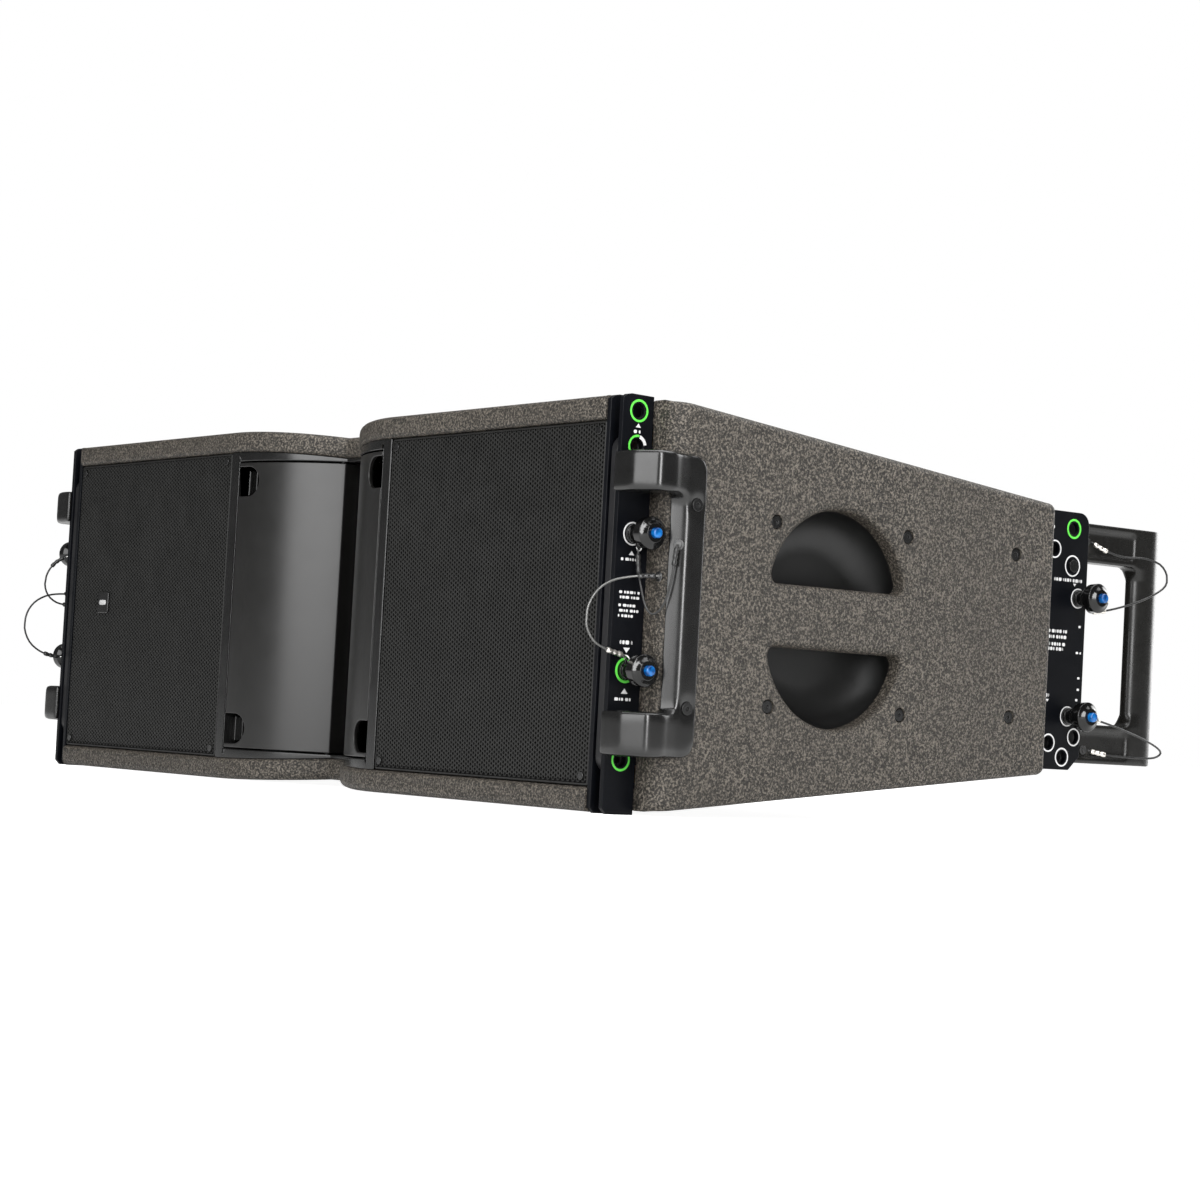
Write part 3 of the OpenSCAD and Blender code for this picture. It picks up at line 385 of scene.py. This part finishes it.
def arc_length(path):
    return sum((b - a).length for a, b in zip(path, path[1:]))


def point_on(path, distance):
    for a, b in zip(path, path[1:]):
        step = (b - a).length
        if distance <= step:
            return a.lerp(b, distance / step)
        distance -= step
    return path[-1].copy()


def sweep(path, radii, sides=10, closed=False, flatten=1.0):
    """Verts and faces of a tube along a path in millimetres, with the section's turn carried smoothly."""
    count = len(path)
    headings = []
    for i in range(count):
        before, after = (path[i - 1], path[(i + 1) % count]) if closed else (
            path[max(i - 1, 0)], path[min(i + 1, count - 1)])
        headings.append((after - before).normalized())
    across = headings[0].orthogonal().normalized()
    verts, faces = [], []
    for i, heading in enumerate(headings):
        across = (across - heading * across.dot(heading)).normalized()
        other = heading.cross(across)
        for k in range(sides):
            a = 2 * math.pi * k / sides
            verts.append(path[i] + radii[i] * (math.cos(a) * across + flatten * math.sin(a) * other))
    loops = count if closed else count - 1
    for i in range(loops):
        for k in range(sides):
            a, b = i * sides + k, i * sides + (k + 1) % sides
            c, d = ((i + 1) % count) * sides + (k + 1) % sides, ((i + 1) % count) * sides + k
            faces.append((a, b, c, d))
    if not closed:
        faces.append(tuple(range(sides))[::-1])
        faces.append(tuple((count - 1) * sides + k for k in range(sides)))
    return verts, faces


# ---------------------------------------------------------------- lanyards
# Routes from the eyelet to just off the pin's tab, in the cabinet's millimetres at the right-hand end
FRONT_UPPER_RIGHT = [(538.5, -208.5, 51), (538.5, -210, 42), (538, -211, 30), (536.5, -212.5, 16),
                     (533.5, -214.5, 3), (529, -217, -5.5), (523.5, -220, -8), (518.5, -223, -2),
                     (515, -225.5, 12), (512, -227.5, 28), (511, -228, 45)]
FRONT_LOWER_RIGHT = [(526, -216.5, 24), (522, -228, 23.5), (516.5, -241, 21.5), (512.5, -255, 17.5),
                     (511, -268, 9), (510.5, -276.5, -4), (510.5, -278, -20), (510.5, -270, -33),
                     (511, -257, -39.5), (511, -244, -42.5), (511, -236.2, -44.2)]
FRONT_UPPER_LEFT = [(524, -216.5, 2), (526, -229, 1.5), (526, -243, 3.5), (524, -255, 11),
                    (521, -261, 23), (517.5, -260, 36), (514, -253, 47.5), (511, -242, 54.8)]
FRONT_LOWER_LEFT = [(524, -216.5, 16), (523.5, -230, 14), (521, -247, 12.5), (517, -262, 9),
                    (514, -276, 1), (512, -285, -11.5), (511.5, -287, -28), (511.5, -280, -43),
                    (511.5, -267, -52.5), (511, -253, -56.5), (511, -242, -57.5)]
REAR_UPPER = [(478.5, 354.5, 101), (486, 365, 94), (494, 383, 88.5), (503, 403, 88.5), (509, 420, 84),
              (511, 428.5, 74), (512, 426, 63), (512.5, 410, 53.5), (512.5, 388, 45), (512, 364, 38),
              (511.5, 342, 33), (511, 322.5, 30.5)]
REAR_LOWER = [(478.5, 362.5, -101), (486, 375, -104), (492, 394, -105.5), (498, 415, -106),
              (503.5, 430, -105), (508, 434.5, -100), (510.5, 424, -94), (512, 400, -86.5),
              (512.5, 370, -79), (512, 345, -73.5), (511, 321.5, -70.3)]
WIRE_R = 1.0
RING_WIRE = 0.75
RING_SPARE = 1.2
TAB_X = 512
TAB_EYE = 9
# Each crimped sleeve's distance from its own end of the wire, and its length
PIN_SLEEVE = (20, 17)
EYELET_SLEEVE = (3, 15.5)
FRONT_UPPER, FRONT_LOWER, REAR_HIGH, REAR_LOW = (-228, 59), (-228, -56), (314.5, 43), (307, -70)


def smoothed(route, steps=3):
    points = [Vector(p) for p in route]
    limits = [(min(p[k] for p in points), max(p[k] for p in points)) for k in range(3)]
    line = []
    for i in range(len(points) - 1):
        a, b = points[max(i - 1, 0)], points[i]
        c, d = points[i + 1], points[min(i + 2, len(points) - 1)]
        for s in range(steps):
            t = s / steps
            line.append(0.5 * (2 * b + (c - a) * t + (2 * a - 5 * b + 4 * c - d) * t * t
                               + (3 * b - a - 3 * c + d) * t ** 3))
    return [Vector(min(max(c, low), high) for c, (low, high) in zip(p, limits))
            for p in line + [points[-1]]]


def ring_piece(name, centre, radius, along, wire, material, body):
    """A small closed ring in the plane of X and the given direction."""
    path = [centre + radius * (math.cos(a) * Vector((1, 0, 0)) + math.sin(a) * along)
            for a in (2 * math.pi * k / 28 for k in range(28))]
    mesh = new_mesh(name, *sweep(path, [wire] * len(path), 10, closed=True))
    finish_mesh(mesh, 60)
    ob = new_object(name, mesh, material)
    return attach(ob, body)


def sleeve(name, path, start, length, body, material):
    """A crimped sleeve round the wire, flattened, with two bites and rolled ends."""
    shape = ((0, 1.35), (0.03, 1.9), (0.08, 2.15), (0.24, 2.15), (0.31, 1.75), (0.39, 1.75), (0.46, 2.15),
             (0.54, 2.15), (0.61, 1.75), (0.69, 1.75), (0.76, 2.15), (0.92, 2.15), (0.97, 1.9), (1, 1.35))
    line = [point_on(path, start + length * s) for s, _ in shape]
    mesh = new_mesh(name, *sweep(line, [r for _, r in shape], 16, flatten=1.3))
    finish_mesh(mesh, 50)
    ob = new_object(name, mesh, material)
    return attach(ob, body)


def lanyard(name, end, route, place, tab_turn, material, sleeves):
    """One wire from its eyelet to a pin.
    sleeves are the materials of the crimped sleeves at the eyelet and at the pin."""
    sign = ENDS[end]
    node = "lanyards_" + name.split("_")[0] + "_" + end
    body = "pin_" + name + "_" + end
    path = [Vector((sign * p.x, p.y, p.z)) for p in smoothed(route)]
    verts, faces = sweep(path, [WIRE_R] * len(path), 12)
    mesh = new_mesh("lanyard_" + name + "_" + end, verts, faces)
    finish_mesh(mesh, 60)
    wire = new_object("lanyard_" + name + "_" + end, mesh, material)
    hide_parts(node)
    whole = arc_length(path)
    turn = math.radians(tab_turn)
    eye = Vector((sign * TAB_X, place[0] + TAB_EYE * math.sin(turn), place[1] - TAB_EYE * math.cos(turn)))
    toward = eye - path[-1]
    toward.x = 0
    reach = toward.length
    toward.normalize()
    radius = (reach + RING_SPARE) / 2
    centre = Vector((sign * TAB_X, path[-1].y, path[-1].z)) + toward * (reach / 2)
    parts = [
        ring_piece(f"lanyard_{name}_{end}_ring", centre, radius, toward, RING_WIRE, STEEL, body),
        sleeve(f"lanyard_{name}_{end}_pin_ferrule", path, whole - PIN_SLEEVE[0], PIN_SLEEVE[1], body,
               sleeves[1]),
        sleeve(f"lanyard_{name}_{end}_eyelet_ferrule", path, *EYELET_SLEEVE, "root", sleeves[0]),
    ]
    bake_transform(wire)


def make_lanyards():
    dark, bright = (DARK_FERRULE, DARK_FERRULE), (FERRULE, FERRULE)
    lanyard("front_upper", "right", FRONT_UPPER_RIGHT, FRONT_UPPER, 0, DARK_WIRE, dark)
    lanyard("front_lower", "right", FRONT_LOWER_RIGHT, FRONT_LOWER, 215, WIRE, (DARK_FERRULE, FERRULE))
    lanyard("front_upper", "left", FRONT_UPPER_LEFT, FRONT_UPPER, -73, DARK_WIRE, dark)
    lanyard("front_lower", "left", FRONT_LOWER_LEFT, FRONT_LOWER, -84, DARK_WIRE, dark)
    for end in ENDS:
        lanyard("rear_upper", end, REAR_UPPER, REAR_HIGH, 30, DARK_WIRE, bright)
        lanyard("rear_lower", end, REAR_LOWER, REAR_LOW, 90, DARK_WIRE, bright)


make_lanyards()


# ---------------------------------------------------------------- cabinet
PLATE_FACE = 502
WALL_SCREWS = [(-97.5, 79.5), (57.5, 79.5), (-97.5, -79.5), (57.5, -79.5), (194.5, 75), (194.5, -75),
               (-190, 85.5), (-190, -85.5)]
SCREW_REACH = 7.5
TAPER = math.tan(math.radians(5.9))
HALF_HEIGHT = 177
PANEL_FRONT_Y = -247.5
FRONT_EDGE_Y = -180
REAR_EDGE_Y = 240


def by_wall_screw(m):
    return any(math.hypot(m.y - y, m.z - z) < SCREW_REACH for y, z in WALL_SCREWS)


def surface(y):
    """Height of the tapered top above the middle."""
    return HALF_HEIGHT - (y - PANEL_FRONT_Y) * TAPER


# Edge radii in millimetres: none where panels and walls meet
PANEL_RULES = (
    (lambda m: abs(m.x) > 500, 0),
    (lambda m: abs(m.x) > 476, 1.5),
    (lambda m: abs(m.z) > surface(m.y) - 2 and m.y < FRONT_EDGE_Y, 8),
    (lambda m: m.y < FRONT_EDGE_Y, 4),
    (lambda m: m.y > REAR_EDGE_Y and abs(m.z) > surface(m.y) - 2, 3),
)
WALL_RULES = (
    (by_wall_screw, 0.7),
    (lambda m: abs(m.x) < 503 and m.y < FRONT_EDGE_Y, 1.0),
    (lambda m: abs(m.x) < 519, 0),
)

# The handle's upright bar: half its depth, half its height clear of the arms, and the height it eases over
BAR_HALF = 19
BAR_FREE = 78
BAR_EASE = 12
OVAL = 2.0


def oval_bar(node):
    """A shape for moulded: gives the handle's upright bar an oval section that eases off into its arms."""
    low, high = ((corner - ORIGIN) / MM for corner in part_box(node))
    middle = Vector(((low.x + high.x) / 2, high.y - BAR_HALF, (low.z + high.z) / 2))
    half_x = (high.x - low.x) / 2

    def shape(p):
        out = p - middle
        reach = (abs(out.x / half_x) ** OVAL + abs(out.y / BAR_HALF) ** OVAL) ** (1 / OVAL)
        share = 1 if out.y > 0 else min(1, max(0, (BAR_FREE - abs(out.z)) / BAR_EASE))
        if reach <= 1 or out.y < -BAR_HALF - 1:
            return p
        scale = 1 + share * (1 / reach - 1)
        return middle + Vector((out.x * scale, out.y * scale, out.z))
    return shape


MOULD_VOXEL = 1.5


def make_cabinet():
    for node in ("top_panel", "bottom_panel"):
        refined(node, COAT, 0, 5, PANEL_RULES)
    for end in ENDS:
        refined("side_wall_" + end, COAT, 7, 5, WALL_RULES)
    refined("rear_panel", COAT, 2.5, 3)
    refined("horn_frame", MOULDING, 1.0, 3)
    refined("waveguide", MOULDING, 0.8)
    for end in ENDS:
        refined("horn_fin_" + end, FIN, 0.9, 3)
        refined("handle_cup_" + end, CUP, 0)
        moulded("bumper_" + end, MOULDING, MOULD_VOXEL, 60)
        handle = "rear_handle_" + end
        moulded(handle, HANDLE, MOULD_VOXEL, 12, oval_bar(handle))
        for plates in ("front_plates_", "rear_plates_"):
            # Faces turned to the front take the light grey: bare cut edges with a painted sheen.
            refined(plates + end, PLATE, 0.6, 2, (), lambda n, m: n.y < -0.9, PLATE_EDGE_SHEEN)
        for link in ("front_link_", "rear_link_"):
            refined(link + end, LINK, 0.7)
        for place in ("front_upper_", "front_lower_", "rear_upper_", "rear_lower_"):
            refined("pin_" + place + end, PIN, 0.35, 2, (), lambda n, m: abs(m.x) < PLATE_FACE + 0.2,
                    STEEL)
            refined("button_" + place + end, BUTTON, 0.25)
    for node in ("side_screws", "grille_screws", "rigging_bolts"):
        refined(node, SCREW, 0.4)
    refined("lanyard_eyelets", EYELET, 0.6, 3)
    refined("connector_plate", SCREW, 0.6)


CARRIED = {
    PLYWOOD: ("inner_walls", "bracing"),
    GRILLE: ("driver_baffles",),
    CASTING: ("mid_driver_frames", "woofer_baskets", "compression_drivers"),
    CONE: ("mid_driver_cones", "woofer_cones"),
    MAGNET: ("woofer_magnets",),
    CLOTH: ("grille_cloths",),
}


def dress_carried():
    """The pieces inside keep their CAD shape and take a material."""
    for material, nodes in CARRIED.items():
        for node in nodes:
            slots = frame["nodes"][node].data.materials
            slots.clear()
            slots.append(material)


make_cabinet()
dress_carried()


# ---------------------------------------------------------------- grilles
PITCH = 4.1
HOLE_R = 1.5
SHEET = 1.3
RIM = 1.9
FIELD_INSET = 2.8


def rounded_outline(x0, x1, z0, z1, r, steps=5):
    points = []
    for cx, cz, start in ((x1 - r, z1 - r, 0), (x0 + r, z1 - r, 90), (x0 + r, z0 + r, 180),
                          (x1 - r, z0 + r, 270)):
        for i in range(steps + 1):
            a = math.radians(start + 90 * i / steps)
            points.append((cx + r * math.cos(a), cz + r * math.sin(a)))
    return points


def hole_field(name, x0, x1, z0, z1, front):
    """Sheet with a triangular grid of holes: each cell is a six-sided web round one hole."""
    verts, faces, index = [], [], {}

    def vertex(x, y, z):
        key = (round(x, 2), round(y, 2), round(z, 2))
        if key not in index:
            index[key] = len(verts)
            verts.append((x, y, z))
        return index[key]

    step = PITCH * math.sqrt(3) / 2
    columns, rows = int((x1 - x0) / step), int((z1 - z0) / PITCH)
    left = (x0 + x1 - columns * step) / 2
    low = (z0 + z1 - rows * PITCH) / 2
    turns = [(math.cos(math.radians(60 * k)), math.sin(math.radians(60 * k))) for k in range(6)]
    for i in range(columns + 1):
        for j in range(rows + 1):
            x, z = left + i * step, low + (j + 0.5 * (i % 2)) * PITCH
            web = [vertex(x + c * PITCH / math.sqrt(3), front, z + s * PITCH / math.sqrt(3))
                   for c, s in turns]
            lip = [vertex(x + c * HOLE_R, front, z + s * HOLE_R) for c, s in turns]
            back = [vertex(x + c * HOLE_R, front + SHEET, z + s * HOLE_R) for c, s in turns]
            for k in range(6):
                n = (k + 1) % 6
                faces.append((web[k], web[n], lip[n], lip[k]))
                faces.append((lip[k], lip[n], back[n], back[k]))
    return new_mesh(name, verts, faces)


def rim(name, x0, x1, z0, z1, front, back):
    """The tray's pressed border: flat strip, rounded bend and side wall."""
    section = [(RIM, 0.25), (RIM, 0), (1.3, 0), (0.6, 0.2), (0.2, 0.6), (0, 1.3), (0, back - front),
               (1.3, back - front), (1.3, 1.8), (RIM, 1.8)]
    verts, faces = [], []
    for inset, depth in section:
        outline = rounded_outline(x0 + inset, x1 - inset, z0 + inset, z1 - inset, max(0.6, 2.5 - inset))
        verts += [(x, front + depth, z) for x, z in outline]
    around, rings = len(outline), len(section)
    for s in range(rings):
        for k in range(around):
            n = (k + 1) % around
            faces.append((s * around + k, s * around + n, (s + 1) % rings * around + n,
                          (s + 1) % rings * around + k))
    return new_mesh(name, verts, faces)


def make_grille(end):
    node = "grille_" + end
    low, high = ((corner - ORIGIN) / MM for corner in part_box(node))
    field = hole_field(node + "_sheet", low.x + FIELD_INSET, high.x - FIELD_INSET, low.z + FIELD_INSET,
                       high.z - FIELD_INSET, low.y + 0.2)
    shade(field, 70)
    border = rim(node + "_rim", low.x, high.x, low.z, high.z, low.y, high.y)
    finish_mesh(border)
    for ob in (new_object(node + "_sheet", field, GRILLE), new_object(node + "_rim", border, GRILLE)):
        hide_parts(node)
        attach(ob, "root")


for end in ENDS:
    make_grille(end)


# ---------------------------------------------------------------- marks and badge
INK = 0.12


class Marks:
    """Thin printed shapes on a plate's outer face, gathered into one mesh."""

    def __init__(self, sign):
        self.sign, self.verts, self.faces = sign, [], []

    def prism(self, outlines):
        """Raises closed outlines in (y, z) off the plate: one outline is filled, two make a band."""
        start, count = len(self.verts), len(outlines[0])
        for x in (PLATE_FACE, PLATE_FACE + INK):
            for outline in outlines:
                self.verts += [(self.sign * x, y, z) for y, z in outline]
        layer = count * len(outlines)
        for k in range(count):
            n = (k + 1) % count
            for ring in range(len(outlines)):
                a, b = start + ring * count + k, start + ring * count + n
                self.faces.append((a, b, b + layer, a + layer))
            if len(outlines) == 2:
                a, b = start + layer + k, start + layer + n
                self.faces.append((a, b, b + count, a + count))
        if len(outlines) == 1:
            self.faces.append(tuple(start + layer + k for k in range(count)))

    def ring(self, y, z, inner, outer, start=0, sweep_angle=360):
        steps = max(8, int(sweep_angle / 9))
        angles = [math.radians(start + sweep_angle * i / steps) for i in range(steps + (sweep_angle < 360))]
        edge = [[(y + r * math.cos(a), z + r * math.sin(a)) for a in angles] for r in (inner, outer)]
        self.prism(edge if sweep_angle == 360 else [edge[0] + edge[1][::-1]])

    def bar(self, y, z, width, height=1.7):
        self.prism([rounded_outline(y - width / 2, y + width / 2, z - height / 2, z + height / 2,
                                    height * 0.3, 2)])

    def words(self, y0, y1, z, height=2.2, start=0):
        """A row of short dashes that fills the space of a line of print."""
        widths, gap, place, i = (3.1, 1.7, 2.5, 3.8, 1.4, 2.2), 0.9, y0, start
        while place + widths[i % 6] <= y1:
            self.bar(place + widths[i % 6] / 2, z, widths[i % 6], height)
            place += widths[i % 6] + (gap if (i + start) % 4 else 2.2)
            i += 1

    def triangle(self, y, z, size, up=True):
        tip = size if up else -size
        self.prism([[(y - size * 0.8, z - tip / 2), (y + size * 0.8, z - tip / 2), (y, z + tip / 2)]])

    def done(self, name, material):
        mesh = new_mesh(name, self.verts, self.faces)
        finish_mesh(mesh, 30)
        ob = new_object(name, mesh, material)
        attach(ob, "root")


def front_marks(end):
    green, white = Marks(ENDS[end]), Marks(ENDS[end])
    y = FRONT_UPPER[0]
    green.ring(y, 163, 7.8, 9.7)
    green.ring(y, 133, 7.8, 9.7, 80, 150)
    white.ring(y, 133, 6.8, 9.7, 10, 66)
    white.ring(y, 59, 8.7, 10.0)
    green.ring(y, -56, 8.6, 10.8)
    green.ring(y, -131, 7.8, 9.7)
    white.triangle(y, 150.5, 3.4)
    white.words(y - 4.5, y + 4.8, 145.2, 2.8)
    white.triangle(y, 42.7, 3.6)
    white.words(y - 11, y + 10, 37.2, 2.4, 2)
    for i, z in enumerate((9.5, 5.2, -1.6, -6.0, -10.4)):
        white.words(y - 11 + i % 2, y + 11.5 - i % 3, z, 2.3, i)
    white.words(y - 7.5, y + 7.5, -32.6, 3.4, 1)
    white.triangle(y, -39.2, 4.4, up=False)
    white.triangle(y, -73.5, 4.4)
    white.words(y - 10, y + 10, -80.4, 2.6, 3)
    green.done("marks_front_green_" + end, GREEN_PRINT)
    white.done("marks_front_white_" + end, WHITE_PRINT)


def rear_marks(end):
    green, white = Marks(ENDS[end]), Marks(ENDS[end])
    green.ring(305, 109, 7.6, 9.6)
    for y, z, inner, outer in ((280, 88, 7.3, 8.7), (305, 73.5, 8.9, 10.3), (317, -89.5, 7.2, 8.6),
                               (283, -96, 7.3, 8.7), (302, -109, 7.5, 9.0), (*REAR_HIGH, 8.4, 9.6),
                               (*REAR_LOW, 8.4, 9.6)):
        white.ring(y, z, inner, outer)
    white.words(258, 271, 109, 2.2)
    white.ring(276.5, 109, 0.3, 2.0)
    for i, z in enumerate((10.2, 4.8, -2.1, -6.7)):
        white.words(247, 306 - 2.5 * i, z, 3.2, i)
    for z, width in ((16, 5), (-9, 7), (-33, 3.5), (-44, 3.5), (-54, 5)):
        white.words(322 - width, 323, z, 2.2)
    white.words(281, 320, 59.6, 3.2, 1)
    white.triangle(309, 55.5, 2.6, up=False)
    white.words(249, 284, -51, 3.4, 2)
    white.triangle(279, -56, 2.6, up=False)
    white.words(252, 264, -84, 2.4)
    white.words(252, 268, -90.5, 2.4, 3)
    green.done("marks_rear_green_" + end, GREEN_PRINT)
    white.done("marks_rear_white_" + end, WHITE_PRINT)


def plate_piece(name, layers, material):
    """Stacked rounded outlines joined into a closed slab: a layer is half width, half height, radius, y."""
    verts, faces = [], []
    for half_x, half_z, radius, y in layers:
        verts += [(BADGE[0] + x, y, BADGE[1] + z)
                  for x, z in rounded_outline(-half_x, half_x, -half_z, half_z, radius)]
    around = len(verts) // len(layers)
    for s in range(len(layers) - 1):
        for k in range(around):
            n = (k + 1) % around
            faces.append((s * around + k, s * around + n, (s + 1) * around + n, (s + 1) * around + k))
    faces.append(tuple(range(around)))
    faces.append(tuple((len(layers) - 1) * around + k for k in range(around)))
    mesh = new_mesh(name, verts, faces)
    finish_mesh(mesh)
    ob = new_object(name, mesh, material)
    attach(ob, "root")


BADGE = (-410, 3)


def make_badge():
    plate_piece("badge_plate", ((11.6, 11, 2, -243.9), (12, 11.4, 2, -244.3), (12, 11.4, 2, -245.2),
                                (11.5, 10.9, 1.8, -245.6)), SCREW)
    plate_piece("badge_bar", ((7.6, 2.6, 2.5, -245.5), (7.6, 2.6, 2.5, -245.8), (7.2, 2.2, 2.1, -246.0)),
                BADGE_FACE)


for end in ENDS:
    front_marks(end)
    rear_marks(end)
make_badge()


# ---------------------------------------------------------------- studio
def softbox(name, azimuth, distance, bottom, top, width, power):
    """An upright soft light, azimuth 0 in front and 90 on the right, aimed at the cabinet."""
    a = math.radians(azimuth)
    middle = (bottom + top) / 2
    place = ORIGIN + Vector((math.sin(a) * distance, -math.cos(a) * distance, middle - ORIGIN.z))
    data = bpy.data.lights.new(name, "AREA")
    data.shape, data.size, data.size_y, data.energy = "RECTANGLE", width, top - bottom, power
    light = bpy.data.objects.new(name, data)
    light.location = place
    light.rotation_euler = (ORIGIN - place).to_track_quat("-Z", "Y").to_euler()
    light.visible_camera = False
    scene.collection.objects.link(light)


def camera_level(tree, others, seen):
    """A strength that is one value where the camera looks straight at it and another as a source of light."""
    direct = tree.nodes.new("ShaderNodeLightPath").outputs["Is Camera Ray"]
    level = tree.nodes.new("ShaderNodeMapRange")
    level.inputs["To Min"].default_value = others
    level.inputs["To Max"].default_value = seen
    tree.links.new(direct, level.inputs["Value"])
    return level.outputs[0]


AMBIENT = 0.14
FLOOR_GLOW = 0.25
FLOOR_SEEN = 0.93
FLOOR_HALF = 30
# Azimuth, distance, bottom, top and width in metres, and power in watts
SOFTBOXES = {
    "key": (18, 3.0, 0.1, 2.3, 2.6, 90),
    "side": (72, 3.2, 0.05, 2.4, 0.8, 85),
    "back": (180, 4.0, 0.1, 2.5, 2.4, 80),
}
TOP_OFFSET = Vector((0.6, 0.4, 2.6))
TOP_WIDTH, TOP_DEPTH, TOP_POWER = 3.0, 3.4, 115


def make_studio():
    floor = bpy.data.meshes.new("floor")
    h = FLOOR_HALF
    floor.from_pydata([(-h, -h, 0), (h, -h, 0), (h, h, 0), (-h, h, 0)], [], [(0, 1, 2, 3)])
    paper = Nodes("floor_paper", (0.7, 0.7, 0.69), 0.75, specular=0.1)
    paper.set("Emission Color", (1, 1, 1, 1))
    paper.link(paper.ramp(paper.noise(3, 2), (0.3, (0.69, 0.69, 0.685)), (0.7, (0.71, 0.71, 0.705))),
               "Base Color")
    paper.link(camera_level(paper.tree, FLOOR_GLOW, FLOOR_SEEN), "Emission Strength")
    new_object("floor", floor, paper.material)
    for name, values in SOFTBOXES.items():
        softbox(name, *values)
    data = bpy.data.lights.new("top", "AREA")
    data.shape, data.size, data.size_y, data.energy = "RECTANGLE", TOP_WIDTH, TOP_DEPTH, TOP_POWER
    light = bpy.data.objects.new("top", data)
    light.location = ORIGIN + TOP_OFFSET
    scene.collection.objects.link(light)
    world = bpy.data.worlds.new("studio")
    world.use_nodes = True
    tree = world.node_tree
    background = tree.nodes["Background"]
    background.inputs["Color"].default_value = (1, 1, 1, 1)
    tree.links.new(camera_level(tree, AMBIENT, 1.0), background.inputs["Strength"])
    scene.world = world
    scene.view_settings.view_transform = "Standard"


make_studio()
